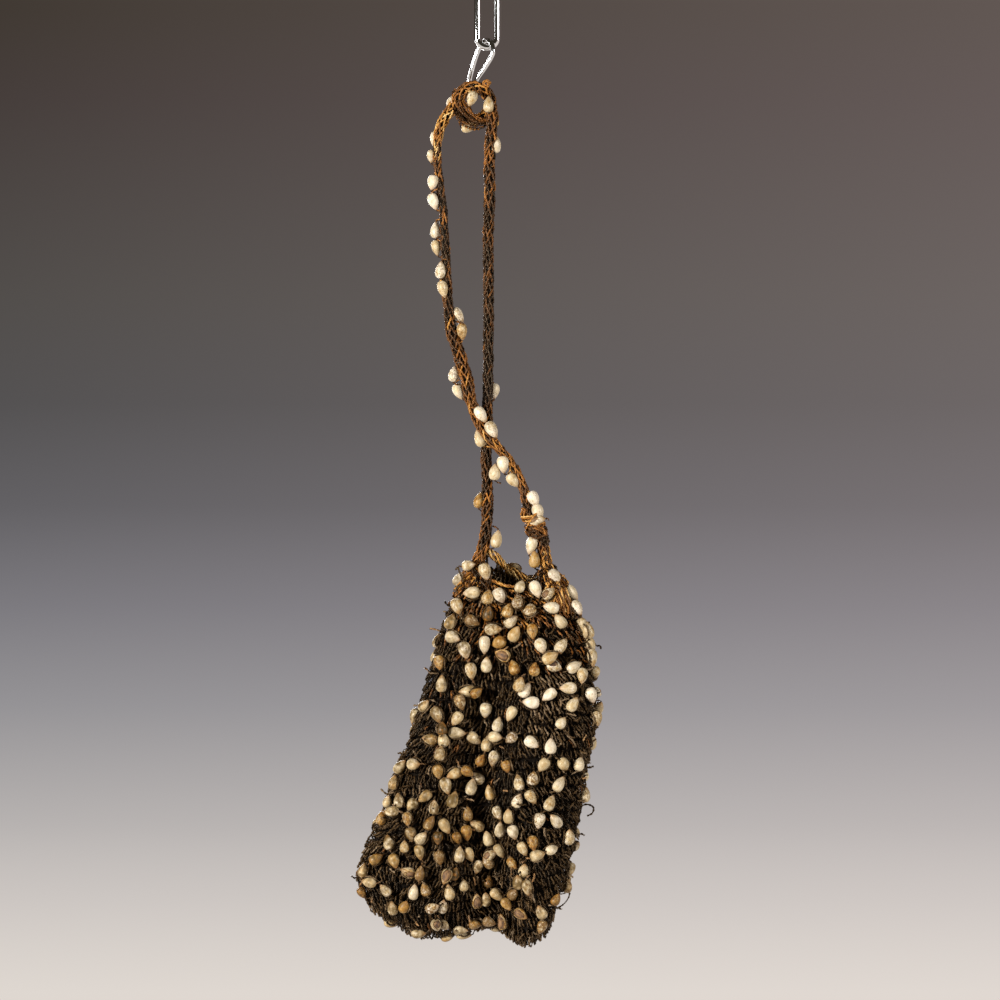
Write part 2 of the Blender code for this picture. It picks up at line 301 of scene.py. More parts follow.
class Look:
    """One finish: a material and its Principled shader."""

    def __init__(self, name, sockets):
        self.material = bpy.data.materials.new(name)
        self.material.use_nodes = True
        self.tree = self.material.node_tree
        self.shader = self.tree.nodes["Principled BSDF"]
        for label, value in sockets.items():
            self.shader.inputs[label].default_value = value

    def node(self, kind, settings, inputs):
        """A node with its settings, then its sockets' values or links."""
        node = self.tree.nodes.new(kind)
        for label, value in settings.items():
            if label == "stops":
                self.set_stops(node.color_ramp, value)
            else:
                setattr(node, label, value)
        for label, value in inputs.items():
            self.put(node.inputs[label], value)
        return node

    def put(self, socket, value):
        if isinstance(value, Number):
            value = value.socket
        if isinstance(value, bpy.types.NodeSocket):
            self.tree.links.new(value, socket)
        else:
            socket.default_value = value

    @staticmethod
    def set_stops(ramp, stops):
        while len(ramp.elements) < len(stops):
            ramp.elements.new(1.0)
        for element, (place, colour) in zip(ramp.elements, stops):
            element.position = place
            element.color = (*colour, 1.0)

    def attribute(self, name):
        node = self.node("ShaderNodeAttribute", {"attribute_name": name}, {})
        return Number(self, node.outputs["Fac"])

    def here(self):
        """Object coordinates."""
        return self.node("ShaderNodeTexCoord", {}, {}).outputs["Object"]

    def own(self):
        """Each seed's own coordinates, in millimetres."""
        return self.node("ShaderNodeAttribute", {"attribute_name": "own"}, {}).outputs["Vector"]

    def stretched(self, where, stretch):
        node = self.node("ShaderNodeMapping", {}, {"Vector": where, "Scale": stretch})
        return node.outputs["Vector"]

    def noise(self, scale, detail=2.0, roughness=0.5, where=None):
        inputs = {
            "Vector": where or self.here(),
            "Scale": scale,
            "Detail": detail,
            "Roughness": roughness,
        }
        return Number(self, self.node("ShaderNodeTexNoise", {}, inputs).outputs["Fac"])

    def ramp(self, number, stops):
        return self.node("ShaderNodeValToRGB", {"stops": stops}, {"Fac": number}).outputs["Color"]

    def mix(self, number, first, second):
        """The first colour where the number is 0, and the second where it is 1."""
        node = self.node("ShaderNodeMix", {"data_type": "RGBA"}, {})
        used = [s for s in node.inputs if s.type == "RGBA" or s.identifier == "Factor_Float"]
        for socket, value in zip(used, (number, first, second)):
            self.put(socket, value)
        return next(s for s in node.outputs if s.type == "RGBA")

    def bump(self, height, distance, strength=1.0):
        inputs = {"Height": height, "Distance": distance, "Strength": strength}
        node = self.node("ShaderNodeBump", {}, inputs)
        self.put(self.shader.inputs["Normal"], node.outputs["Normal"])

    def colour(self, value):
        self.put(self.shader.inputs["Base Color"], value)


STRING_GRAIN = 2600.0  # fibres of a string
STRING_CLOUD = 160.0  # patches along it
STEEL = (0.82, 0.82, 0.82, 1.0)

# What colours a string can have, from 0 to 1: the netting's, and the strap's.
DARK = [
    (0.0, (0.0030, 0.0010, 0.0002)),
    (0.30, (0.0210, 0.0098, 0.0028)),
    (0.55, (0.079, 0.044, 0.017)),
    (0.75, (0.212, 0.148, 0.088)),
    (0.88, (0.22, 0.105, 0.038)),
    (1.0, (0.42, 0.25, 0.11)),
]
BROWN = [
    (0.0, (0.006, 0.0027, 0.001)),
    (0.30, (0.028, 0.0105, 0.003)),
    (0.50, (0.108, 0.037, 0.0075)),
    (0.68, (0.29, 0.103, 0.015)),
    (0.84, (0.52, 0.25, 0.050)),
    (1.0, (0.67, 0.46, 0.19)),
]
# The seeds' shells, from ivory to near black.
SHELL = [
    (0.0, (0.77, 0.665, 0.51)),
    (0.30, (0.50, 0.385, 0.215)),
    (0.62, (0.355, 0.185, 0.038)),
    (0.80, (0.225, 0.080, 0.007)),
    (0.92, (0.056, 0.029, 0.006)),
    (1.0, (0.028, 0.016, 0.003)),
]
# The backdrop's glow, from the floor up.
GLOW = [
    (0.0, (0.730, 0.679, 0.631)),
    (0.08, (0.604, 0.565, 0.539)),
    (0.21, (0.440, 0.418, 0.413)),
    (0.31, (0.300, 0.291, 0.304)),
    (0.41, (0.202, 0.195, 0.212)),
    (0.51, (0.124, 0.119, 0.127)),
    (0.61, (0.089, 0.084, 0.085)),
    (0.71, (0.084, 0.076, 0.071)),
    (0.90, (0.061, 0.048, 0.044)),
    (0.98, (0.053, 0.042, 0.034)),
]
TIP_BROWN = (0.26, 0.12, 0.04, 1.0)
GRIME_AND_SHADE_BROWN = (0.10, 0.06, 0.018, 1.0)
STAIN_BROWN = (0.125, 0.062, 0.018, 1.0)


def string_look(name, stops, shine):
    """Rolled bast string: each string has its own place on the stops, with fibres along it."""
    look = Look(name, {"Specular IOR Level": shine, "Specular Tint": (1.0, 0.80, 0.55, 1.0)})
    tint = look.attribute("tint")
    fibre = look.noise(STRING_GRAIN, detail=3.0, roughness=0.6)
    patch = look.noise(STRING_CLOUD)
    shade = tint + (fibre - 0.5) * 0.5 + (patch - 0.5) * 0.35
    look.colour(look.ramp(shade, stops))
    look.put(look.shader.inputs["Roughness"], 0.24 + fibre * 0.3)
    look.bump(fibre, 0.0003, 0.8)
    return look.material


def seed_look():
    """A hard pale shell, streaked along its length, browner at the tip and where it is worn, and
    browner in blotches where its place on the bag is dimmed, which is painted shade.
    """
    look = Look(
        "seed_shell",
        {
            "Coat Weight": 0.08,
            "Coat Roughness": 0.3,
            "Specular IOR Level": 0.4,
            "Specular Tint": (1.0, 0.85, 0.62, 1.0),
        },
    )
    tint = look.attribute("tint")
    worn = look.attribute("worn")
    own = look.own()
    height = Number(look, look.node("ShaderNodeSeparateXYZ", {}, {"Vector": own}).outputs["Z"])
    streaks = look.noise(1.5, detail=3.0, where=look.stretched(own, (1.0, 1.0, 0.18)))
    cloud = look.noise(0.45, detail=3.0, where=own)
    shade = tint + (cloud - 0.5) * (worn * 0.8 + 0.4) + (streaks - 0.5) * 0.3
    base = look.ramp(shade, SHELL)
    grime = ((look.noise(0.32, where=own) - 0.34) * 3.2).limited()
    # painted shade with grime: brown blotches, stronger where the seed's place on the bag is dimmed
    grimed_and_shaded = look.mix(look.attribute("dim") * grime * 1.7, base, GRIME_AND_SHADE_BROWN)
    tip = (height * 0.23).above_zero().power(3.0)
    ends = look.mix(tip * 0.75, grimed_and_shaded, TIP_BROWN)
    stain = look.noise(0.8, detail=3.0, roughness=0.65, where=own)
    stained = (stain - 0.72 + worn * 0.15 + look.attribute("dim") * 0.11) * 11.0
    spotted = (look.noise(2.1, detail=1.0, where=own) - 0.665) * 8.0
    vein = look.noise(0.7, where=look.stretched(own, (1.0, 1.0, 0.35))) - 0.5
    veins = (worn * 0.0013 - vein * vein) * 900.0
    marks = stained.limited() * 0.8 + spotted.limited() * 0.7 + veins.limited() * 0.7
    look.colour(look.mix(marks.limited(), ends, STAIN_BROWN))
    look.put(look.shader.inputs["Roughness"], 0.36 + cloud * 0.2)
    look.bump(streaks * 0.4 + cloud * 0.5 - marks.limited() * 0.4, 0.00016, 0.6)
    return look.material


def seed_inside_look():
    look = Look("seed_inside", {"Roughness": 0.7})
    grain = look.noise(0.9, detail=3.0, where=look.stretched(look.own(), (1.0, 1.0, 0.3)))
    look.colour(look.ramp(grain, [(0.38, (0.05, 0.022, 0.009)), (0.62, (0.225, 0.115, 0.04))]))
    look.bump(grain, 0.0006, 0.9)
    return look.material


# Near black: this fill stands for the shade in the gaps between loops, as painted shade.
def shade_fill_look():
    look = Look("netting_shade_fill", {"Roughness": 0.95, "Specular IOR Level": 0.1})
    grain = look.noise(900.0, detail=3.0)
    look.colour(look.ramp(grain, [(0.35, (0.002, 0.0012, 0.0006)), (0.7, (0.010, 0.006, 0.003))]))
    look.bump(grain, 0.0008, 1.0)
    return look.material


def steel_look(name, roughness):
    return Look(name, {"Metallic": 1.0, "Base Color": STEEL, "Roughness": roughness}).material


# ---------------------------------------------------------------- shared making


def add_piece(name, data, looks):
    """A finished piece of the bag, which rides with the whole."""
    piece = bpy.data.objects.new(name, data)
    bpy.context.scene.collection.objects.link(piece)
    for look in looks:
        data.materials.append(look)
    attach(piece, "root")
    return piece


PLIES = [(0.50, 0.17), (0.0, 0.30), (-0.50, 0.17), (-0.50, -0.17), (0.0, -0.30), (0.50, -0.17)]
PLY_TURN = 3.8  # length of string in which the two plies make a full turn


def string_profile():
    """The section of a string of thickness 1: two plies side by side."""
    mesh = bmesh.new()
    corners = [mesh.verts.new((x * MM, y * MM, 0)) for x, y in PLIES]
    for a, b in zip(corners, corners[1:] + corners[:1]):
        mesh.edges.new((a, b))
    data = bpy.data.meshes.new("string_profile")
    mesh.to_mesh(data)
    mesh.free()
    return bpy.data.objects.new("string_profile", data)


def string_nodes(profile):
    """Sweeps the section along every line of a mesh, turned as its plies lie."""
    group = bpy.data.node_groups.new("string", "GeometryNodeTree")
    group.interface.new_socket("Geometry", in_out="INPUT", socket_type="NodeSocketGeometry")
    group.interface.new_socket("Geometry", in_out="OUTPUT", socket_type="NodeSocketGeometry")

    def add(kind, **inputs):
        node = group.nodes.new(kind)
        for label, value in inputs.items():
            socket = node.inputs[label.replace("_", " ")]
            if isinstance(value, bpy.types.NodeSocket):
                group.links.new(value, socket)
            else:
                socket.default_value = value
        return node

    lines = add("NodeGroupInput")
    curves = add("GeometryNodeMeshToCurve", Mesh=lines.outputs[0])
    lie = add("GeometryNodeInputNamedAttribute", Name="lie")
    thick = add("GeometryNodeInputNamedAttribute", Name="thick")
    turned = add("GeometryNodeSetCurveTilt", Curve=curves.outputs[0], Tilt=lie.outputs["Attribute"])
    sized = add(
        "GeometryNodeSetCurveRadius", Curve=turned.outputs[0], Radius=thick.outputs["Attribute"]
    )
    section = add("GeometryNodeObjectInfo", Object=profile)
    loop = add("GeometryNodeMeshToCurve", Mesh=section.outputs["Geometry"])
    swept = add("GeometryNodeCurveToMesh", Curve=sized.outputs[0])
    group.links.new(loop.outputs[0], swept.inputs["Profile Curve"])
    swept.inputs["Fill Caps"].default_value = True
    out = add("NodeGroupOutput")
    group.links.new(swept.outputs[0], out.inputs[0])


def bundle(chance, lines, thick, tint):
    """A bundle of strings. A pair stands for a range, from which each string draws its value."""
    values = [
        chance.uniform(*value, len(lines)) if isinstance(value, tuple) else np.asarray(value)
        for value in (thick, tint)
    ]
    return lines, *values


def string_piece(name, bundles, look):
    """One mesh of many strings. A bundle is (lines, thick, tint): lines is an array of
    (strings, points, 3) in millimetres, and the others hold a value for each string, or for
    each of its points."""
    data = bpy.data.meshes.new(name)
    places, edges, lies, thicks, tints = [], [], [], [], []
    first = 0
    for lines, thick, tint in bundles:
        count, points = lines.shape[:2]
        index = first + np.arange(count * points).reshape(count, points)
        edges.append(np.stack([index[:, :-1].ravel(), index[:, 1:].ravel()], axis=1))
        steps = np.linalg.norm(np.diff(lines, axis=1), axis=2)
        along = np.concatenate([np.zeros((count, 1)), np.cumsum(steps, axis=1)], axis=1)
        places.append(lines.reshape(-1, 3) * MM)
        lies.append((along / PLY_TURN + np.arange(count)[:, None] * 0.37).ravel() * TURN)
        for values, value in ((thicks, thick), (tints, tint)):
            value = value.reshape(count, -1)
            values.append(np.broadcast_to(value, (count, points)).ravel())
        first += count * points
    data.from_pydata(np.concatenate(places).tolist(), np.concatenate(edges).tolist(), [])
    for label, values in (("lie", lies), ("thick", thicks), ("tint", tints)):
        layer = data.attributes.new(label, "FLOAT", "POINT")
        layer.data.foreach_set("value", np.concatenate(values).astype(np.float32))
    guide = bpy.data.objects.new(name + "_lines", data)
    bpy.context.scene.collection.objects.link(guide)
    guide.modifiers.new("string", "NODES").node_group = bpy.data.node_groups["string"]
    graph = bpy.context.evaluated_depsgraph_get()
    made = bpy.data.meshes.new_from_object(guide.evaluated_get(graph))
    bpy.data.objects.remove(guide)
    made.name = name
    made.materials.clear()
    made.shade_smooth()
    return add_piece(name, made, [look])


# ---------------------------------------------------------------- the netting

ROW_STEP = 4.2  # mm between rows of loops
STITCH_STEP = 1.85  # mm between the loops of a row
STITCH_POINTS = 9
STITCH_HALF = (2.1, 3.1)  # half a loop's length
STITCH_ROOT = -2.9  # how far behind the face a loop's ends lie
INNER_ROW_STEP = 3.4  # the same for the loops that show inside the mouth
INNER_STEP = 2.0
INNER_ROWS = 3
HEM_STEP = 1.6
HEM_RUN = np.array([6.0, 4.4, 2.8, 1.2])  # how far above the edge a hem loop's points lie
HEM_LIFT = np.array([-2.4, -0.9, -0.5, -0.3])  # how far they stand out from the face
SLACK_LOOPS = 26
STRAYS = 330  # slack loops that lie across the others
GROUND_COLUMNS = 150
GROUND_ROWS = 80
GROUND_DEPTH = 3.1  # mm behind the netting's face
GROUND_WALL = 1.0
SEED_CLEARANCE = 2.6  # mm between a loop's middle and a seed's, below which the loop is left out
FOOT_FROM = 0.55  # share of the way down where the lower pieces of the netting start

# Patches of the netting: the middle and the reach of each, x and z.
BROWN_SHOULDER = ((44.0, -318.0), (11.0, 16.0))
BROWN_HOLLOW = ((-17.0, -352.0), (7.0, 11.0))
# The paler patch on the right panel is painted light; the fold and the left side are darkened as
# painted shade.
LIT_PANEL = ((30.0, -352.0), (20.0, 22.0))
PAINTED_SHADE_FOLD = ((14.0, -378.0), (15.0, 42.0))
PAINTED_SHADE_SIDE = ((-27.0, -342.0), (12.0, 28.0))


def lean_at(x, z, front):
    """How far the loops lean from straight down, towards the right as seen from the front."""
    right = np.tanh((x - 6.0) / 12.0)
    swirl = 0.28 * np.sin(x / 9.0 + z / 12.0) + 0.22 * np.sin(z / 5.5 - x / 13.0)
    behind = -0.25 + 0.3 * np.sin(x / 17.0 + z / 23.0)
    return np.where(front, 0.12 + 0.34 * right + swirl * (0.75 - 0.4 * right), behind + swirl)


def dents(x, z):
    """How far patches of the loops sink, in millimetres."""
    return np.clip(np.sin(x / 3.1 + 2.0 * np.sin(z / 7.3)) * np.sin(z / 3.9 + x / 8.7), 0, 1)


def leaning(along, aside, lean):
    """How far right and below a loop's points lie, when it leans from straight down."""
    right = along * np.sin(lean) + aside * np.cos(lean)
    return right, along * np.cos(lean) - aside * np.sin(lean)


def stitches(net, chance):
    """The loops' centre lines, row by row, with where each one sits. A loop dives at its top
    under the row above, and its lower end stands over the row below."""
    lines, places = [], []
    rows = int(net.height / ROW_STEP)
    t = np.linspace(-1, 1, STITCH_POINTS)[None, :]
    for row in range(rows):
        level = (row + 0.5) / rows
        count = int(net.girth_at(level) / STITCH_STEP)
        share = (np.arange(count) + 0.5 * (row % 2) + chance.uniform(-0.25, 0.25, count)) / count
        wave = 0.9 * np.sin(share * TURN * 4 + row * 1.7) + chance.normal(0, 0.4, count)
        down = level + wave / net.height
        spot, out = net.place(down, share)
        front = out[:, 1] < 0
        lean = lean_at(spot[:, 0], spot[:, 2], front) * np.where(front, 1, -1)
        lean = (lean + chance.normal(0, 0.17, count))[:, None]
        half = chance.uniform(*STITCH_HALF, count)[:, None]
        bow = chance.uniform(-0.4, 0.4, count)[:, None] * (1 - t * t)
        curl = chance.normal(0.18, 0.22, count)[:, None] * np.sin(math.pi * t)
        aside = bow + curl
        along = t * half
        crown = 1.9 + chance.uniform(-0.45, 0.45, count) - 0.8 * dents(spot[:, 0], spot[:, 2])
        lift = STITCH_ROOT + arch(t, 6) * crown[:, None] + 0.7 * t
        lines.append(net.laid(down, share, *leaning(along, aside, lean), lift))
        places.append(np.stack([np.full(count, level), share % 1.0], axis=1))
    return np.concatenate(lines), np.concatenate(places)


def netting_tints(spots, chance):
    """How pale each loop is along its length, and which loops are brown: most at the mouth, and
    some at the right shoulder and in the left hollow.
    The loops are near black. They are paler on the right panel as painted light, darker in the fold
    and at the left side as painted shade, and a little darker towards the bottom."""
    x, z = spots[:, 0], spots[:, 2]
    mouth = np.clip((z + 334.0) / 30.0, 0, 1) * np.exp(-(((x - 14.0) / 32.0) ** 4))
    share = 0.9 * mouth + 0.4 * soft_patch(x, z, *BROWN_SHOULDER)
    share = share + 0.5 * soft_patch(x, z, *BROWN_HOLLOW) + 0.015
    brown = chance.random(len(spots)) < share
    patch = np.sin(x / 8.3 + 1.3 * np.sin(z / 11.0)) * np.sin(z / 6.1 - x / 14.0)
    # painted light: the right panel's loops are paler, where more light falls
    worn = soft_patch(x, z, *LIT_PANEL)
    # painted shade: darker in the front fold and along the left side
    painted_shade = soft_patch(x, z, *PAINTED_SHADE_FOLD) + 0.8 * soft_patch(x, z, *PAINTED_SHADE_SIDE)
    low = np.clip((-425.0 - z) / 20.0, 0, 1)
    tints = 0.30 + 0.12 * patch + 0.26 * worn - 0.20 * painted_shade - 0.03 * low
    tints = tints + chance.normal(0, 0.14, len(spots))
    browner = chance.uniform(0.24, 0.50, len(spots)) + 0.20 * mouth
    tints = np.where(brown, browner, np.clip(tints, 0.0, 0.66))
    t = np.linspace(-1, 1, STITCH_POINTS)
    # painted highlight and painted shade: each loop is paler in its middle, where it stands out,
    # and near black at its ends, where it dives under its neighbours
    return tints[:, None] + 0.06 - 0.32 * t**4, brown


def stray_loops(net, chance):
    """Slack loops that lie across the others, every way."""
    t = np.linspace(-1, 1, 7)[None, :]
    down = chance.uniform(0.03, 0.97, STRAYS)
    share = chance.random(STRAYS)
    lean = chance.normal(0.0, 0.9, STRAYS)[:, None]
    along = t * chance.uniform(2.0, 3.6, STRAYS)[:, None]
    bow = chance.uniform(-1.8, 1.8, STRAYS)[:, None] * (1 - t * t)
    return net.laid(down, share, *leaning(along, bow, lean), -2.8 + 2.3 * arch(t, 4))


def netting_ground(net):
    """The inner loops, as one thin near-black pocket behind the strings; its dark colour stands for
    the shade in the gaps, as painted shade.
    """
    mesh = bmesh.new()
    bmesh.ops.create_grid(mesh, x_segments=GROUND_COLUMNS, y_segments=GROUND_ROWS, size=0.5)
    for vert in mesh.verts:
        down, share = np.array([0.5 - vert.co.y]), np.array([vert.co.x + 0.5])
        vert.co = Vector(net.place(down, share, np.array([-GROUND_DEPTH]))[0][0]) * MM
    bmesh.ops.remove_doubles(mesh, verts=mesh.verts, dist=0.02 * MM)
    bottom = [v for v in mesh.verts if v.is_boundary and v.co.z < -400 * MM]
    mesh.verts.ensure_lookup_table()
    bmesh.ops.remove_doubles(mesh, verts=bottom, dist=3.0 * MM)
    bmesh.ops.recalc_face_normals(mesh, faces=mesh.faces)
    return finished(mesh, "net_ground")


def hem_loops(net, chance):
    """The loops that close the bottom: bends round the edge, and slack loops that hang in front."""
    lines = []
    levels = 1 - HEM_RUN / net.height
    foot_width = net.girth[-1] / 2
    count = int(foot_width / HEM_STEP)
    for i in range(count):
        share = 0.5 * (i + 0.5 + chance.uniform(-0.25, 0.25)) / count
        x = net.place(np.array(1.0), np.array(share))[0][0]
        behind = net.share_at(1.0, x + chance.uniform(-2.0, 2.0), front=False)
        lift = HEM_LIFT + chance.uniform(-0.2, 0.4)
        ahead, _ = net.place(levels, np.full(4, share), lift)
        after, _ = net.place(levels, np.full(4, behind), lift)
        low = (ahead[-1] + after[-1]) / 2 - np.array([0, 0, 1.3 + chance.uniform(-0.3, 0.5)])
        near, far = ahead[-1] * 0.6 + low * 0.4, after[-1] * 0.6 + low * 0.4
        near[2], far[2] = low[2] + 0.5, low[2] + 0.5
        lines.append(np.concatenate([ahead, [near, low, far], after[::-1]]))
    t = np.linspace(0, math.pi, 11)
    for i in range(SLACK_LOOPS):
        share = 0.5 * (i + chance.uniform(0.1, 0.9)) / SLACK_LOOPS
        width = chance.uniform(1.5, 3.2)
        drop = chance.uniform(2.8, 4.8)
        right = -width / 2 * np.cos(t)
        below = drop * np.sin(t) - chance.uniform(2.8, 4.2)
        level = 1 + np.minimum(below, 0.0) / net.height
        points, _ = net.place(level, share + right / net.girth[-1], 0.9 * np.sin(t) - 1.4)
        points[:, 2] -= np.maximum(below, 0.0)
        lines.append(points)
    return np.array(lines)


# ---------------------------------------------------------------- the seeds

# A seed's outline from its blunt end to its tip: radius and height, in millimetres.
SEED_OUTLINE = [
    (0.90, -3.85),
    (1.85, -3.50),
    (2.52, -2.65),
    (2.86, -1.30),
    (2.76, 0.15),
    (2.30, 1.65),
    (1.54, 2.95),
    (0.82, 3.90),
    (0.34, 4.45),
]
SEED_SIDES = 12
SPLIT_SIDES = 26  # so that one column of faces looks straight ahead
SHELL_WALL = 0.45
BROKEN_EDGE = 0.45  # how far a broken shell's edge strays
KERNEL = (0.84, 0.88)  # girth and length beside the shell's
CHIP = ((0.6, 2.0, -0.9), (0.55, 1.0, -0.45))  # where a shell is cut open, and facing which way
HUSK = ((0.0, 1.5, 0.0), (0.12, 1.0, 0.0))
CRACK_WIDTH = 0.1
CRACK_DEPTH = 0.8

Seed = namedtuple("Seed", "place tip out size tint dim worn form")

# What a kind of seed is made from: its form, how brown its shell is, from 0 (ivory) to 1 (dark),
# how worn it is, and how long it shows.
Kind = namedtuple("Kind", "form tints worn reach")
KINDS = {
    "whole": Kind("whole", (0.0, 0.30), (0.1, 1.0), 1.0),
    "round": Kind("whole", (0.05, 0.28), (0.2, 0.8), 0.80),
    "straw": Kind("whole", (0.38, 0.62), (0.8, 1.3), 0.94),
    "amber": Kind("whole", (0.54, 0.76), (0.9, 1.3), 0.82),
    "dark": Kind("whole", (0.94, 1.0), (0.7, 1.2), 0.84),
    "stained": Kind("whole", (0.06, 0.36), (1.45, 1.85), 0.93),
    "chipped": Kind("chipped", (0.05, 0.3), (0.7, 1.0), 0.95),
    "cracked": Kind("split", (0.02, 0.2), (0.3, 0.7), 1.0),
    "split": Kind("split", (0.36, 0.66), (0.3, 0.7), 0.96),
    "husk": Kind("husk", (0.26, 0.54), (0.5, 1.0), 1.0),
}

# The front's seeds: x, z, and which way the tip points, in degrees clockwise from straight up.
FRONT_SEEDS = {
    "whole": [
        # the mouth
        (-13.1, -289.0, 20), (-7.2, -295.3, 268), (-14.2, -301.6, 155), (-1.0, -285.2, 165),
        (31.9, -287.7, 140), (23.0, -293.6, 160), (39.7, -295.3, 165),
        (5.8, -296.6, 150), (42.4, -302.3, 155), (34.6, -308.8, 325), (11.2, -308.8, 50),
        # the upper third
        (-17.3, -309.0, 12), (-16.3, -316.4, 110), (2.8, -312.6, 85), (45.2, -310.9, 160),
        (-1.2, -319.8, 180), (25.4, -320.4, 160), (35.0, -320.4, 40), (48.7, -319.8, 180),
        (-10.6, -322.3, 165), (49.6, -325.7, 200), (-0.4, -329.5, 5), (41.2, -330.3, 60),
        (-7.6, -332.2, 172), (44.9, -334.2, 190), (-21.5, -338.4, 2), (38.4, -340.3, 268),
        # the middle, above the hips
        (-9.1, -342.0, 268), (17.8, -341.4, 30), (29.4, -343.5, 232), (49.2, -343.5, 160),
        (20.9, -347.1, 275), (40.5, -348.1, 35), (-0.6, -350.7, 185), (11.4, -352.3, 205),
        (-23.7, -352.8, 150), (-14.2, -354.7, 215), (51.9, -354.4, 170), (5.1, -357.6, 15),
        (-14.4, -361.4, 95), (3.9, -363.3, 95), (-26.8, -364.4, 280), (-20.7, -364.6, 350),
        (-6.2, -364.1, 125), (-0.1, -366.7, 10), (20.9, -366.0, 125), (30.0, -367.9, 3),
        # the middle, below the hips
        (-22.2, -371.1, 10), (3.2, -373.4, 190), (-34.6, -376.2, 95), (-41.1, -377.4, 60),
        (26.6, -376.6, 210), (36.1, -376.4, 135), (43.5, -376.2, 35), (-15.4, -380.8, 250),
        (-4.4, -382.8, 310), (-44.1, -385.0, 0), (15.0, -385.0, 340), (34.0, -385.8, 35),
        (-19.4, -386.3, 165), (-7.4, -386.9, 20), (46.4, -390.9, 5), (20.7, -391.7, 145),
        (-29.3, -391.5, 235), (-41.6, -393.6, 350), (-16.1, -393.0, 20), (14.4, -393.6, 30),
        (29.6, -394.7, 30), (-35.5, -395.3, 225), (-25.1, -396.6, 5), (-45.2, -398.3, 270),
        # the lower third
        (5.1, -399.1, 140), (10.2, -400.8, 10), (24.7, -402.8, 190), (32.5, -403.0, 320),
        (-4.7, -405.1, 300), (-19.9, -405.5, 150), (6.0, -407.2, 10), (12.3, -408.3, 160),
        (-35.9, -409.3, 175), (38.8, -410.6, 340), (-31.2, -411.0, 45), (0.5, -411.4, 340),
        (-46.4, -413.3, 345), (16.9, -416.1, 155), (30.6, -416.5, 80), (5.8, -417.1, 155),
        (-31.9, -417.7, 165), (-8.5, -418.8, 150), (-13.1, -419.0, 10), (23.7, -419.2, 75),
        (-4.3, -424.5, 190), (-58.6, -426.4, 20), (17.3, -426.4, 20), (-55.7, -431.9, 272),
        # the bottom
        (14.6, -431.7, 10), (18.8, -434.0, 170), (-47.9, -435.7, 310), (-34.6, -436.7, 10),
        (-17.8, -436.9, 350), (4.7, -437.8, 130), (-0.6, -440.1, 355), (-20.9, -443.5, 10),
        (-44.5, -444.3, 3), (25.6, -446.2, 335), (-20.3, -452.3, 150), (-12.7, -454.6, 90),
        (-32.3, -456.2, 60),
    ],
    "round": [
        (15.6, -292.4, 15), (51.1, -332.8, 110), (-29.8, -348.6, 60), (35.0, -356.8, 40),
        (-47.0, -393.9, 40), (-39.0, -415.0, 0), (-11.0, -433.5, 0),
    ],
    "straw": [
        (0.3, -297.4, 10), (9.8, -303.8, 20), (21.4, -313.4, 175),
        (-22.6, -328.2, 160), (12.7, -330.7, 330), (15.2, -338.6, 20), (-23.2, -379.7, 170),
        (-9.1, -399.8, 0), (-49.8, -401.5, 10), (-27.2, -404.1, 30), (-9.7, -408.5, 170),
        (21.6, -413.3, 170), (11.9, -423.0, 120), (-5.7, -451.9, 90),
    ],
    "amber": [
        (22.4, -331.6, 10), (-5.1, -342.4, 60), (-3.0, -374.5, 30),
        (9.1, -377.2, 155), (-9.3, -379.5, 120), (-14.2, -411.0, 150), (-59.1, -436.7, 175),
        (32.5, -440.1, 30),
    ],
    "dark": [
        (0.5, -305.4, 10), (-21.1, -359.3, 0), (-23.2, -411.0, 180), (-15.4, -428.1, 20),
        (0.7, -431.9, 10),
    ],
    "chipped": [
        (28.9, -295.7, 45), (31.7, -329.9, 110), (1.5, -418.8, 60), (-37.1, -427.2, 290),
        (-23.9, -451.9, 170),
    ],
    "stained": [
        (14.4, -299.5, 10), (19.7, -303.5, 265), (-7.2, -308.6, 120), (-12.7, -346.7, 160),
        (11.4, -363.9, 250), (21.6, -383.1, 10), (-37.6, -401.8, 170), (-22.6, -420.3, 170),
        (0.5, -422.4, 320), (-31.7, -427.7, 10), (-29.1, -435.4, 345), (12.1, -437.6, 50),
        (-25.8, -443.9, 60), (0.9, -450.4, 110), (25.8, -452.9, 190),
    ],
    "cracked": [(30.4, -302.3, 280)],
    "split": [
        (12.9, -314.9, 30), (5.5, -318.9, 245), (29.6, -325.9, 60), (1.3, -389.8, 345),
        (-52.5, -420.9, 60), (-43.9, -421.8, 160), (9.1, -441.8, 140), (-39.2, -443.5, 30),
    ],
    "husk": [
        (7.4, -324.8, 290), (-19.2, -428.9, 200), (-4.7, -440.9, 350),
        (15.7, -446.9, 120), (7.0, -450.8, 350),
    ],
}
# Seeds of the back that show past its edges.
EDGE_SEEDS = [
    (12.7, -283.9, 300), (47.5, -313.0, 0), (-23.0, -318.1, 10), (-23.7, -325.2, 20),
    (-34.2, -353.4, 170), (-34.2, -361.4, 180), (49.2, -366.3, 20), (39.3, -426.0, 170),
    (37.8, -434.0, 0), (-45.6, -451.4, 90), (-18.8, -457.6, 90), (-11.2, -456.8, 80),
    (4.2, -453.4, 60),
]

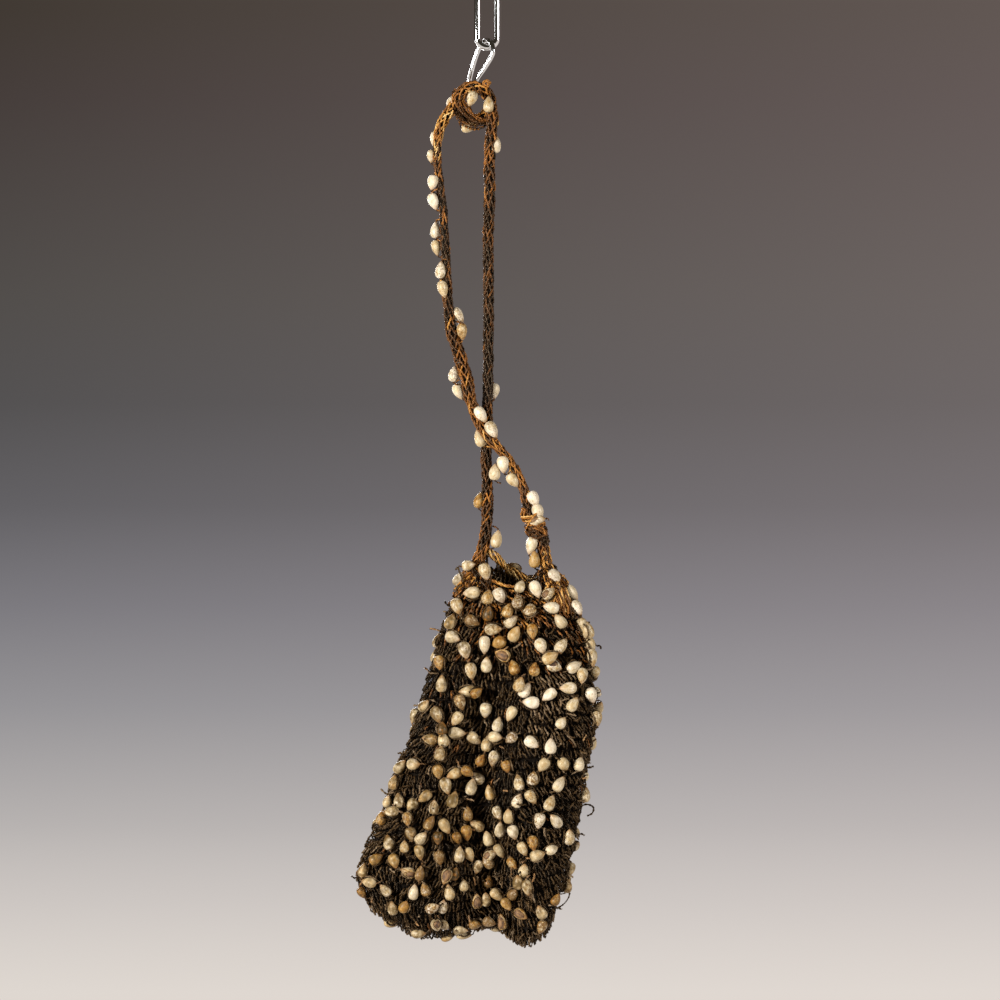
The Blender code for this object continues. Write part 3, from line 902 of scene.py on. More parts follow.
MOUTH_AT = -285.0
BIGGEST = 1.07  # a seed's size at the mouth
SHRINKS_DOWN = 1000.0  # the way down over which a whole size would be lost, in mm
SHRINKS_UP = 2100.0  # the same up the strap
SEED_LIFT = (0.7, 1.4)  # how far a seed's middle stands off the netting
SEED_ROOM = 4.3  # mm between inner axes, below which a seed lies over its neighbour
SEED_OVER = 1.0  # how much higher it then lies
SEED_LAYERS = 4  # heights that are tried
SEED_TILT = 0.15  # how unevenly the tips rise from the netting
LEAST_FACING = 0.6  # netting that turns further aside lifts its seeds no further forward
DRAWN_ABOUT = (6.1, -251.6)  # the tables are drawn as seen level with this point,
DRAWN_FROM = 2000.0  # from this far in front
DULLEST = 0.60  # how much browner and darker seeds are made far from the right panel, where they are brightest: painted shade for light that falls off away from there
BRIGHTEST_SEEDS_AT = (30.0, -343.0)
BRIGHTEST_SEEDS_REACH = (62.0, 90.0)
PALER_SEED_PATCHES = [((20.0, -405.0), (24.0, 20.0)), ((-28.0, -440.0), (20.0, 12.0))]  # patches where the seeds get less of that painted shade
PALER_SEED_SHARE = 0.42
MOUTH_LOW = -304.0  # above this seeds are paler again, and get only this share of the painted shade
MOUTH_DULL = 0.6
EDGE_REACH = 0.4  # a seed further than this from the netting hangs past its edge
SEED_REACH = 1.7  # half the length of a seed's inner axis
SEED_ROW = 8.6  # mm between rows of seeds on the back
SEED_STEP = 10.4  # mm between seeds along a row there
BACK_ROOM = 5.2  # mm between inner axes, below which a seed there is left out
BACK_WAYS = 6  # ways a seed there is tried
BACK_SWAY = 2.8  # mm that it strays up or down from its row
BACK_ODDS = [0.62, 0.04, 0.09, 0.05, 0.02, 0.08, 0.02, 0.02, 0.04, 0.02]  # how common each kind is
COLLAR_TOP = -286.0  # no collars above this, where seeds stand clear of the netting
COLLAR_ROOM = 4.4  # mm a collar needs between its middle and the next seed
COLLAR_REACH = (3.15, 4.1)  # how far from a seed's middle it runs, beside it and along it
BACK_EDGE = 7.0  # how far from the sides the back's rows stop


def seed_turned(mesh, sides, girth=1.0, reach=1.0):
    """A seed's closed form, spun about its long axis."""
    outline = [mesh.verts.new((r * girth * MM, 0, z * reach * MM)) for r, z in SEED_OUTLINE]
    edges = [mesh.edges.new(pair) for pair in zip(outline, outline[1:])]
    bmesh.ops.spin(
        mesh,
        geom=outline + edges,
        angle=TURN,
        steps=sides,
        axis=(0, 0, 1),
        cent=(0, 0, 0),
        use_merge=True,
    )
    rim = [e for e in mesh.edges if e.is_boundary]
    bmesh.ops.holes_fill(mesh, edges=rim, sides=sides)


def open_shell(mesh, at, facing):
    """Cuts a seed open, and puts its kernel in the shell that is left."""
    everything = mesh.verts[:] + mesh.edges[:] + mesh.faces[:]
    plane = {"plane_co": Vector(at) * MM, "plane_no": facing}
    bmesh.ops.bisect_plane(mesh, geom=everything, clear_outer=True, **plane)
    for vert in [v for v in mesh.verts if v.is_boundary]:
        around = math.atan2(vert.co.x, vert.co.z)
        stray = BROKEN_EDGE * (1 + math.sin(3 * around) * math.cos(5 * around))
        vert.co -= Vector(facing) * MM * stray
    bmesh.ops.recalc_face_normals(mesh, faces=mesh.faces)
    bmesh.ops.solidify(mesh, geom=mesh.faces[:], thickness=SHELL_WALL * MM)
    shell = set(mesh.faces)
    seed_turned(mesh, SEED_SIDES, *KERNEL)
    for face in set(mesh.faces) - shell:
        face.material_index = 1


def seed_form(form):
    """The mesh of one seed with its tip up and its front along Y."""
    mesh = bmesh.new()
    seed_turned(mesh, SPLIT_SIDES if form == "split" else SEED_SIDES)
    if form == "chipped":
        open_shell(mesh, *CHIP)
    elif form == "husk":
        open_shell(mesh, *HUSK)
    elif form == "split":
        column = [f for f in mesh.faces if abs(f.calc_center_median().x) < 0.1 * MM]
        column = [f for f in column if f.normal.y > 0.6 and f.calc_center_median().z < 2.6 * MM]
        sunk = {"thickness": CRACK_WIDTH * MM, "depth": -CRACK_DEPTH * MM}
        crack = bmesh.ops.inset_region(mesh, faces=column, **sunk)
        for face in column + crack["faces"]:
            face.material_index = 1
    bmesh.ops.recalc_face_normals(mesh, faces=mesh.faces)
    own = mesh.verts.layers.float_vector.new("own")
    for vert in mesh.verts:
        vert[own] = vert.co / MM
    for label in ("tint", "dim", "worn"):
        mesh.verts.layers.float.new(label)
    return finished(mesh, "seed_" + form)


def seed_piece(name, seeds, forms, looks):
    """Many seeds as one mesh."""
    mesh = bmesh.new()
    for number, seed in enumerate(seeds):
        tip = Vector(seed.tip).normalized()
        side = Vector(seed.out).cross(tip).normalized()
        turn = Matrix((side, tip.cross(side), tip)).transposed().to_4x4()
        girth, reach = seed.size
        scale = Matrix.Diagonal((girth, girth * 0.94, reach, 1.0))
        copy = forms[seed.form].copy()
        copy.transform(Matrix.Translation(Vector(seed.place) * MM) @ turn @ scale)
        count = len(copy.vertices)
        for label, value in (("tint", seed.tint), ("dim", seed.dim), ("worn", seed.worn)):
            copy.attributes[label].data.foreach_set("value", np.full(count, value, np.float32))
        own = np.empty(count * 3, np.float32)
        copy.attributes["own"].data.foreach_get("vector", own)
        own += np.tile(np.array([31.0, 17.0, 0.0], np.float32) * number, count)
        copy.attributes["own"].data.foreach_set("vector", own)
        mesh.from_mesh(copy)
        bpy.data.meshes.remove(copy)
    return add_piece(name, finished(mesh, name), looks)


def room_left(place, tip, taken):
    """The least distance between a seed's inner axis and those of its neighbours."""
    if not taken:
        return 99.0
    spots = np.array(taken)
    axis = inner_axis(place, tip)
    return min(np.linalg.norm(spots - spot, axis=1).min() for spot in axis)


def inner_axis(place, tip):
    return [place + tip * reach for reach in (-SEED_REACH, 0.0, SEED_REACH)]


def dulled(x, z):
    """How much painted shade browns and darkens the seeds at a place on the bag, growing away from
    the right panel where they are brightest.
    """
    apart = math.hypot((x - BRIGHTEST_SEEDS_AT[0]) / BRIGHTEST_SEEDS_REACH[0], (z - BRIGHTEST_SEEDS_AT[1]) / BRIGHTEST_SEEDS_REACH[1])
    share = MOUTH_DULL if z > MOUTH_LOW else 1.0
    paler_patch = sum(soft_patch(x, z, *patch) for patch in PALER_SEED_PATCHES)
    return DULLEST * share * min(apart, 1.0) * (1 - PALER_SEED_SHARE * paler_patch)


def make_seed(kind, place, tip, out, dull, chance):
    """A seed of a kind. Seeds are biggest round the mouth."""
    form, tints, worn, reach = KINDS[kind]
    above = place[2] - MOUTH_AT
    grown = BIGGEST - abs(above) / (SHRINKS_DOWN if above < 0 else SHRINKS_UP)
    size = (
        grown * chance.uniform(0.88, 1.02) * (0.5 + 0.5 * reach),
        grown * chance.uniform(0.86, 1.01) * reach,
    )
    tint = chance.uniform(*tints)
    # painted shade: where dulled, a seed is browner and darker, and dim sets how strong its brown
    # blotches are
    dim = dull * math.sqrt(1 - tint) * chance.uniform(0.45, 1.5)
    tint += 0.45 * dull * (1 - tint)
    return Seed(place, tip, out, size, tint, dim, chance.uniform(*worn), form)


def placed_seed(net, kind, row, front, taken, chance):
    """A seed of the table, laid on the netting and over any neighbour it would touch."""
    x, z, lean = row
    spot, _ = net.nearest(x, z, front)
    shrink = 1 + spot[1] / DRAWN_FROM
    x = DRAWN_ABOUT[0] + (x - DRAWN_ABOUT[0]) * shrink
    z = DRAWN_ABOUT[1] + (z - DRAWN_ABOUT[1]) * shrink
    spot, out = net.nearest(x, z, front)
    beyond = math.hypot(spot[0] - x, spot[2] - z) > EDGE_REACH
    steep = out[1] if beyond else 1 / (np.sign(out[1]) * max(abs(out[1]), LEAST_FACING))
    lean = math.radians(lean)
    tip = np.array([math.sin(lean), 0.0, math.cos(lean)])
    tip = unit(tip - out * np.dot(tip, out))
    tilt = chance.normal(0.0, SEED_TILT)
    raised = tip * math.cos(tilt) + out * math.sin(tilt)
    tip, out = raised, out * math.cos(tilt) - tip * math.sin(tilt)
    lift = chance.uniform(*SEED_LIFT)
    for _ in range(SEED_LAYERS):
        place = np.array([x, spot[1] + steep * lift, z])
        if room_left(place, tip, taken) > SEED_ROOM:
            break
        lift += SEED_OVER
    taken.extend(inner_axis(place, tip))
    return make_seed(kind, place, tip, out, dulled(x, z), chance)


def placed_seeds(net, taken, chance):
    seeds = []
    for kind, rows in FRONT_SEEDS.items():
        for row in rows:
            seeds.append(placed_seed(net, kind, row, True, taken, chance))
    for row in EDGE_SEEDS:
        seeds.append(placed_seed(net, "whole", row, False, taken, chance))
    return seeds


def strung_seeds(net, taken, chance):
    """The back's seeds, in rows, each lying its own way."""
    seeds = []
    kinds = list(KINDS)
    rows = int(net.height / SEED_ROW)
    for row in range(rows):
        level = (row + 0.4) / rows
        count = int(net.girth_at(level) / SEED_STEP)
        edge = BACK_EDGE / net.girth_at(level)
        for k in range(count):
            share = (k + 0.5 * (row % 2) + chance.uniform(-0.3, 0.3)) / count
            if not 0.5 + edge < share < 1 - edge:
                continue
            stray = chance.uniform(-BACK_SWAY, BACK_SWAY) / net.height
            down = np.clip(level + stray, 0.012, 0.985)
            spot, out = net.place(np.array(down), np.array(share))
            across = unit(np.cross(out, (0.0, 0.0, 1.0)))
            place = spot + out * chance.uniform(*SEED_LIFT)
            ways = []
            for _ in range(BACK_WAYS):
                lean = chance.choice([0.0, math.pi]) + chance.normal(0.0, 0.85)
                tip = np.cross(across, out) * math.cos(lean) + across * math.sin(lean)
                ways.append((room_left(place, tip, taken), tuple(tip)))
            room, tip = max(ways)
            if room < BACK_ROOM:
                continue
            tip = np.array(tip)
            taken.extend(inner_axis(place, tip))
            kind = chance.choice(kinds, p=BACK_ODDS)
            seeds.append(make_seed(kind, place, tip, out, dulled(place[0], place[2]), chance))
    return seeds


def seed_strings(seeds, chance):
    """The string through each seed, which shows at both its ends and dives into the work."""
    lines = []
    for seed in seeds:
        tip, out = seed.tip, seed.out
        side = np.cross(out, tip)
        top = SEED_OUTLINE[-1][1] * seed.size[1]
        low = SEED_OUTLINE[0][1] * seed.size[1]
        sway = chance.uniform(-0.9, 0.9, 2)
        places = [
            (low - 1.2, -3.4, sway[0] * 1.5),
            (low - 1.0, -1.9, sway[0]),
            (low - 0.3, -0.4, sway[0] * 0.3),
            (low + 1.2, 0.0, 0.0),
            (top - 1.6, 0.0, 0.0),
            (top + 0.5, -0.4, sway[1] * 0.3),
            (top + 1.1, -1.9, sway[1]),
            (top + 1.2, -3.4, sway[1] * 1.5),
        ]
        lines.append([seed.place + tip * a + out * b + side * c for a, b, c in places])
    return np.array(lines)


def seed_collars(seeds, chance):
    """A dark loop of the netting that hugs the freer side of each seed, put there to darken the
    ring round it as painted shade.
    """
    places = np.array([seed.place for seed in seeds])
    lines = []
    t = np.linspace(-1.25, 1.25, 8)
    for seed in seeds:
        girth, reach = seed.size
        side = np.cross(seed.out, seed.tip) * chance.choice([-1.0, 1.0])
        beside = seed.place + np.array([side, -side]) * 3.2 * girth
        room = [np.partition(np.linalg.norm(places - spot, axis=1), 1)[1] for spot in beside]
        if max(room) < COLLAR_ROOM or seed.place[2] > COLLAR_TOP:
            continue
        side = side if room[0] >= COLLAR_ROOM else -side
        wide = COLLAR_REACH[0] * girth + chance.uniform(-0.1, 0.3)
        high = COLLAR_REACH[1] * reach
        over = -0.1 - 1.5 * t**2 + chance.uniform(-0.5, 0.1)
        apart = side * (wide * np.cos(t))[:, None] + seed.tip * (high * np.sin(t))[:, None]
        lines.append(seed.place + apart + seed.out * over[:, None])
    return np.array(lines)


# ---------------------------------------------------------------- the strap and its seeds

STRAP_CORE = 3.5  # diameter of the cord inside the loops
STRAP_STEP = 9.0  # spacing of the route's points along its straight runs
FINE_STEP = 0.5  # spacing of the points that a length is measured over
ROUTE_STEP = 1.0
TURN_STEPS = 20  # points on the round turn

# The strap's own route: x, y, z. It climbs from the right foot to the round turn.
STRAP_RISE = [
    (28.0, -0.6, -281.9),
    (26.8, -1.0, -276.5),
    (24.6, -1.6, -269.2),
    (21.8, -2.0, -262.0),
    (19.2, -2.4, -254.8),
    (17.0, -2.9, -246.0),
    (13.0, -3.2, -236.9),
    (7.1, -3.2, -229.2),
    (0.9, -3.0, -222.3),
    (-4.7, -2.4, -212.9),
    (-7.8, -1.6, -203.9),
    (-10.4, -0.8, -191.6),
    (-14.2, 0.0, -179.8),
    (-17.2, 0.6, -169.5),
    (-18.6, 1.2, -157.0),
    (-19.2, 1.8, -143.5),
    (-19.9, 2.6, -128.4),
    (-21.0, 3.4, -113.3),
    (-22.8, 4.2, -99.0),
    (-23.7, 5.0, -88.5),
    (-23.2, 5.4, -80.0),
    (-21.3, 5.8, -73.2),
]
STRAP_FALL = [
    (2.5, -5.6, -72.0),
    (2.1, -5.2, -79.0),
    (1.2, -4.2, -91.0),
    (1.2, -2.6, -110.0),
    (0.6, -1.0, -128.0),
    (0.8, 0.6, -157.0),
    (0.6, 1.8, -180.0),
    (0.4, 2.6, -200.0),
    (0.0, 3.0, -222.3),
    (-0.4, 2.8, -236.0),
    (0.3, 2.0, -248.0),
    (0.0, 1.2, -260.0),
    (-1.2, 0.6, -271.0),
    (-3.4, 0.4, -278.0),
    (-4.6, 0.3, -281.4),
]
# The round turn is a helix about Y: it enters at the left behind, and leaves at the right in front.
TURN_CENTRE = (-6.1, 0.0, -64.6)
TURN_RADIUS = 7.7
TURN_ENTRY = 150.0  # degrees, measured from +X towards +Z
TURN_EXIT = -352.0
TURN_PITCH = 7.6  # how far one full turn comes forward

# How golden the strap's strings are, by the way along it from the right foot.
STRAP_TONES = np.array(
    [
        (0, 0.60), (12, 0.42), (21, 0.34), (32, 0.50), (66, 0.54), (90, 0.50), (120, 0.42),
        (150, 0.28), (190, 0.32), (202, 0.60), (215, 0.76), (228, 0.74), (245, 0.62), (291, 0.60),
        (340, 0.36), (420, 0.26), (440, 0.18), (455, 0.40), (480, 0.36), (505, 0.36), (522, 0.60),
    ]
)
# How bulky it is there beside the cord alone.
STRAP_WIDTHS = np.array(
    [
        (0, 1.35), (12, 1.28), (30, 1.0), (60, 0.96), (75, 1.12), (95, 1.32), (115, 1.32),
        (132, 1.02), (160, 0.86), (208, 0.80), (228, 1.24), (291, 1.24), (400, 1.04), (440, 1.02),
        (480, 1.14), (522, 1.24),
    ]
)

STRAP_CHAINS = 10  # chains of loops round the strap
STRAP_CHAIN_TURN = 13.0  # mm along the strap in which a chain winds round it by one radian
STRAP_LOOP = 6.4  # length of a loop there
STRAP_LOOP_STEP = 4.5
SLACK_STRINGS = 13
SLACK_SPREAD = 8.4
# the strap's seeds get a small fixed share of the seeds' painted shade
STRAP_DULL = 0.10
TURN_RUN = (215.0, 290.0)  # where along the strap its round turn starts and ends

# Seeds strung along the strap, run by run: where, how far ahead of it they lie, which way the
# tip points, in degrees clockwise from straight up as seen from the front, and their kind.
StrapSeed = namedtuple("StrapSeed", "x z ahead lean kind")
STRAP_SEEDS = {
    "rise": [
        StrapSeed(20.9, -272.8, 1.6, 195, "whole"),
        StrapSeed(22.3, -279.8, 2.6, 0, "split"),
        StrapSeed(23.5, -261.0, 3.9, 80, "chipped"),
        StrapSeed(24.0, -257.3, 2.0, 165, "whole"),
        StrapSeed(21.9, -250.9, 1.8, 155, "whole"),
        StrapSeed(12.2, -242.3, 0.8, 140, "whole"),
        StrapSeed(3.6, -238.6, 0.9, 5, "whole"),
        StrapSeed(7.5, -234.7, 1.6, 175, "whole"),
        StrapSeed(2.2, -218.4, 3.2, 150, "whole"),
        StrapSeed(-3.3, -222.6, -3.0, -20, "whole"),
        StrapSeed(-2.9, -211.2, 3.0, 148, "cracked"),
        StrapSeed(-13.4, -200.3, -2.6, 155, "whole"),
        StrapSeed(-15.6, -192.3, -2.4, 8, "whole"),
        StrapSeed(-11.8, -172.0, 1.4, 175, "straw"),
        StrapSeed(-13.8, -164.2, -1.6, 146, "whole"),
        StrapSeed(-20.9, -152.0, 2.4, 165, "whole"),
        StrapSeed(-22.0, -143.2, 2.0, 5, "whole"),
        StrapSeed(-24.0, -132.1, -2.2, 170, "whole"),
        StrapSeed(-24.4, -124.0, -2.4, 2, "whole"),
        StrapSeed(-25.4, -110.4, 1.6, 162, "whole"),
        StrapSeed(-25.7, -101.4, 1.6, 188, "whole"),
        StrapSeed(-26.2, -88.6, -3.2, 185, "round"),
        StrapSeed(-24.6, -80.3, -3.0, 190, "whole"),
    ],
    "turn": [
        StrapSeed(-7.1, -63.1, 8.0, 200, "whole"),
        StrapSeed(-9.3, -75.9, -3.2, 92, "round"),
        StrapSeed(-16.2, -62.6, -3.0, 30, "whole"),
    ],
    "fall": [
        StrapSeed(0.7, -65.9, 3.8, 0, "whole"),
        StrapSeed(4.1, -84.4, -0.6, 6, "whole"),
        StrapSeed(3.3, -199.8, -3.0, 180, "whole"),
        StrapSeed(-3.6, -251.9, -1.6, 12, "straw"),
        StrapSeed(4.5, -270.2, 1.4, 12, "whole"),
        StrapSeed(-8.9, -282.4, 5.6, 80, "round"),
    ],
}


def smooth_route(points, step):
    """Points about a step apart on a smooth curve through the given ones."""
    points = [Vector(p) for p in points]
    last = len(points) - 1
    route = []
    for i in range(last):
        near = [points[min(max(i + k, 0), last)] for k in (-1, 0, 1, 2)]
        pieces = max(1, round((near[2] - near[1]).length / step))
        route += [spline(*near, j / pieces) for j in range(pieces)]
    return route + [points[-1]]


def fine_line(points):
    """Closely spaced points on the smooth curve, and the length along it at each."""
    fine = np.array([tuple(p) for p in smooth_route(points, FINE_STEP)])
    return fine, run_along(fine)


def bent(points, count=11):
    """A smooth line of a number of points through the given ones."""
    fine, run = fine_line(points)
    return between(np.linspace(0, run[-1], count), run, fine)


def round_turn():
    """The strap's helix round the wire, from where it enters to where it leaves."""
    middle = (TURN_ENTRY + TURN_EXIT) / 2
    points = []
    for i in range(TURN_STEPS + 1):
        degrees = TURN_ENTRY + (TURN_EXIT - TURN_ENTRY) * i / TURN_STEPS
        angle = math.radians(degrees)
        forward = TURN_PITCH * (degrees - middle) / 360
        offset = Vector((math.cos(angle) * TURN_RADIUS, forward, math.sin(angle) * TURN_RADIUS))
        points.append(Vector(TURN_CENTRE) + offset)
    return points


class Route:
    """A cord's centre line, read by the length along it, with two directions across it that
    turn no more than the line does."""

    def __init__(self, points):
        fine, run = fine_line(points)
        self.length = run[-1]
        self.stops = np.linspace(0, self.length, int(self.length / ROUTE_STEP) + 1)
        self.points = between(self.stops, run, fine)
        ahead = units(np.gradient(self.points, axis=0))
        across = np.cross(ahead[0], (0.0, 1.0, 0.0))
        sides = []
        for line in ahead:
            across = unit(across - line * np.dot(across, line))
            sides.append(across)
        self.sides = np.array(sides)
        self.others = np.cross(ahead, self.sides)

    def read(self, table, along):
        return between(along, self.stops, table)

    def place(self, along, radius, angle):
        """Points at a radius from the line, at an angle round it."""
        offset = self.read(self.sides, along) * np.cos(angle)[..., None]
        offset = offset + self.read(self.others, along) * np.sin(angle)[..., None]
        return self.read(self.points, along) + offset * np.asarray(radius)[..., None]


def strap_points():
    rise = [Vector(p) for p in STRAP_RISE]
    fall = [Vector(p) for p in STRAP_FALL]
    turn = round_turn()
    lead_in = smooth_route(rise + turn[:1], STRAP_STEP)
    lead_out = smooth_route(turn[-1:] + fall, STRAP_STEP)
    return lead_in + turn[1:] + lead_out[1:]


def cord_curve(name, points, diameter, closed=False):
    """A round cord or wire along the points, as a curve."""
    curve = bpy.data.curves.new(name, "CURVE")
    curve.dimensions = "3D"
    curve.bevel_depth = diameter / 2 * MM
    curve.bevel_resolution = 3
    curve.use_fill_caps = not closed
    line = curve.splines.new("POLY")
    line.points.add(len(points) - 1)
    for place, point in zip(line.points, points):
        place.co = (*(Vector(point) * MM), 1.0)
    line.use_cyclic_u = closed
    line.use_smooth = True
    return curve


def strap_loops(route, chance):
    """The looped strings over the strap's core: chains of short loops that lean both ways."""
    t = np.linspace(-1, 1, 9)
    rise = arch(t, 4)
    lines, tones = [], []
    for column in range(STRAP_CHAINS):
        count = int(route.length / STRAP_LOOP_STEP)
        for i in range(count):
            centre = (i + (column * 0.37) % 1.0) / count * route.length
            half = STRAP_LOOP / 2 * chance.uniform(0.85, 1.2)
            along = np.clip(centre + t * half, 0.3, route.length - 0.3)
            slant = (0.75 if column % 2 else -0.45) + chance.uniform(-0.2, 0.2)
            angle = TURN * column / STRAP_CHAINS + centre / STRAP_CHAIN_TURN + t * slant
            width = np.interp(along, *STRAP_WIDTHS.T)
            radius = (0.9 + (1.05 + chance.uniform(-0.2, 0.3)) * rise + 0.2 * t) * width
            lines.append(route.place(along, radius, angle))
            tones.append(np.interp(centre, *STRAP_TONES.T) + chance.normal(0, 0.15))
    return np.array(lines), np.clip(tones, 0.02, 0.95)


# The slack strings that lie across the lower left of the round turn: x, z and y.
SLACK_TURN = [
    (-16.8, -57.6, 1.0),
    (-15.4, -62.5, -1.5),
    (-13.4, -67.4, -3.0),
    (-10.6, -71.6, -4.0),
    (-6.6, -74.4, -4.6),
    (-2.4, -75.4, -5.0),
    (1.6, -74.0, -4.4),
]


def slack_strings(chance):
    """Strings that sag across the round turn's lower left, side by side."""
    middle = np.array([(x, y, z) for x, z, y in SLACK_TURN])
    inward = np.array(TURN_CENTRE) - middle
    inward[:, 1] = 0.0
    inward = units(inward)
    swell = np.sin(np.linspace(0, math.pi, len(middle)))[:, None]
    lines = []
    for k in range(SLACK_STRINGS):
        reach = (k / (SLACK_STRINGS - 1) - 0.5) * SLACK_SPREAD
        sway = chance.normal(0, 0.35, middle.shape)
        path = middle + inward * (reach * swell + 1.2) + sway
        path[:, 1] -= 0.8 * (k % 2)
        lines.append(bent(path, 17))
    return np.array(lines)


def strap_seeds(route, chance):
    """The seeds hung beside the strap."""
    start, end = TURN_RUN
    spans = {"rise": (0.0, start), "turn": TURN_RUN, "fall": (end, route.length)}
    seeds = []
    for run, rows in STRAP_SEEDS.items():
        here = (route.stops >= spans[run][0]) & (route.stops <= spans[run][1])
        points = route.points[here]
        for row in rows:
            near = points[np.argmin((points[:, 0] - row.x) ** 2 + (points[:, 2] - row.z) ** 2)]
            place = np.array([row.x, near[1] - row.ahead, row.z])
            lean = math.radians(row.lean)
            tip = np.array([math.sin(lean), 0.0, math.cos(lean)])
            out = place - near
            out = unit(out - tip * np.dot(out, tip))
            seeds.append(make_seed(row.kind, place, tip, out, STRAP_DULL, chance))
    return seeds


# ---------------------------------------------------------------- mouth, feet and lashing

RIM_DIAMETER = 2.6
RIM_POINTS = 200
RIM_PLIES = 3
RIM_LAY = 8.0  # mm along the cord in which its plies make a full turn
RIM_WRAPS = 84
RIM_BARE = (-5.0, 15.0)  # where the front of the mouth's cord is left bare
RIM_RAISE = 0.8
NET_WALL = 2.6
LASHING_AT = (22.5, -2.1, -263.8)
LASHING_ALONG = (-5.4, -0.8, 14.4)
LASHING_RADIUS = 3.4  # of the middle of its turns
# Each winding: where its middle lies along the strap, how far it travels, how many turns it makes,
# how far it stands out, how it tilts, how thick it is and how golden.
Winding = namedtuple("Winding", "middle travel turns lift tilt thick tone")
WINDINGS = [
    Winding(0.4, 12.0, 7.0, 0.0, 0.8, 1.5, 0.34),
    Winding(5.0, 3.0, 2.2, 0.6, 1.5, 1.2, 0.66),
    Winding(4.0, 4.0, 1.7, 1.2, -1.8, 1.1, 0.86),
    Winding(3.0, 5.0, 1.9, 0.9, 2.6, 1.2, 0.60),
    Winding(1.8, 7.0, 1.5, 1.4, -3.0, 1.1, 0.74),
    Winding(0.8, 6.0, 1.6, 1.1, 3.2, 1.2, 0.48),
    Winding(-0.6, 6.0, 1.7, 1.3, -2.6, 1.2, 0.40),
    Winding(-2.0, 5.0, 1.4, 0.9, 2.4, 1.3, 0.56),
    Winding(-3.2, 4.0, 1.8, 1.2, -1.8, 1.3, 0.30),
    Winding(-4.4, 2.0, 2.0, 0.7, 1.2, 1.4, 0.24),
]

# Where the lashing's strings bunch up: the middle of a bunch, half its width, depth and height,
# how many strings run round it, and its darkest and palest tone.
Tangle = namedtuple("Tangle", "middle size strings tones")
TANGLES = [
    Tangle((23.4, -4.2, -266.4), (4.9, 2.4, 2.4), 9, (0.26, 0.66)),
    Tangle((23.2, -5.0, -262.6), (3.6, 2.2, 1.9), 5, (0.55, 0.85)),
    Tangle((26.9, -2.4, -270.6), (2.1, 2.4, 3.2), 7, (0.10, 0.32)),
    Tangle((17.6, -2.2, -257.6), (1.5, 1.8, 2.3), 4, (0.5, 0.78)),
]


def mouth_strings(net):
    """The cord along the mouth: three plies twisted round each other."""
    share = np.linspace(0, 1, 241)
    middle, _ = net.place(np.zeros_like(share), share, np.full_like(share, -NET_WALL / 2))
    middle[:, 2] += RIM_DIAMETER / 2 + RIM_RAISE
    route = Route([tuple(p) for p in middle])
    along = np.linspace(0.2, route.length - 0.2, RIM_POINTS)
    lines = []
    for k in range(RIM_PLIES):
        wind = TURN * (along / RIM_LAY + k / RIM_PLIES)
        lines.append(route.place(along, 0.36 + 0.12 * np.sin(along * 1.7 + k), wind))
    return route, np.array(lines)


def rim_wraps(net, route, chance):
    """The first row's loops, which go over the mouth's cord except where it shows in front."""
    lines = []
    for i in range(RIM_WRAPS):
        along = (i + chance.uniform(0.1, 0.9)) / RIM_WRAPS * route.length
        middle = route.read(route.points, np.array(along))
        front = middle[1] < 0
        slide = np.array([chance.normal(0, 0.5), 0, 0])
        if front and RIM_BARE[0] < middle[0] < RIM_BARE[1]:
            continue
        share = net.share_at(0.0, middle[0], front)
        levels = np.array([1.5, 4.0]) / net.height
        outside, out = net.place(levels, np.full(2, share), np.array([-0.6, -2.4]))
        inside, _ = net.place(levels, np.full(2, share), np.array([-2.6, -3.4]))
        facing = out[0] * np.array([1.0, 1.0, 0.0])
        top = middle + np.array([0, 0, 1.1])
        path = [inside[1], inside[0], middle - facing * 1.2, top + slide, middle + facing * 1.2]
        lines.append(bent([*path, outside[0] + slide, outside[1] + slide], 13))
    return np.array(lines)


# Where the strap's strings spread at its feet: at which foot, how many there are, from where to
# where they reach across and down the netting, whether on its front, and how golden they are.
Spread = namedtuple("Spread", "foot count left right top low front tone")
SPREADS = [
    Spread("left", 16, -16.0, -6.0, -300.0, -287.0, True, 0.58),
    Spread("left", 12, -7.0, 3.0, -298.0, -289.0, True, 0.36),
    Spread("left", 8, -12.0, 2.0, -293.0, -287.0, False, 0.45),
    Spread("right", 16, 20.0, 32.0, -301.0, -288.0, True, 0.30),
    Spread("right", 26, 31.0, 42.0, -308.0, -288.0, True, 0.60),
    Spread("right", 18, 29.0, 43.0, -306.0, -292.0, True, 0.72),
    Spread("right", 8, 24.0, 40.0, -299.0, -290.0, False, 0.45),
]


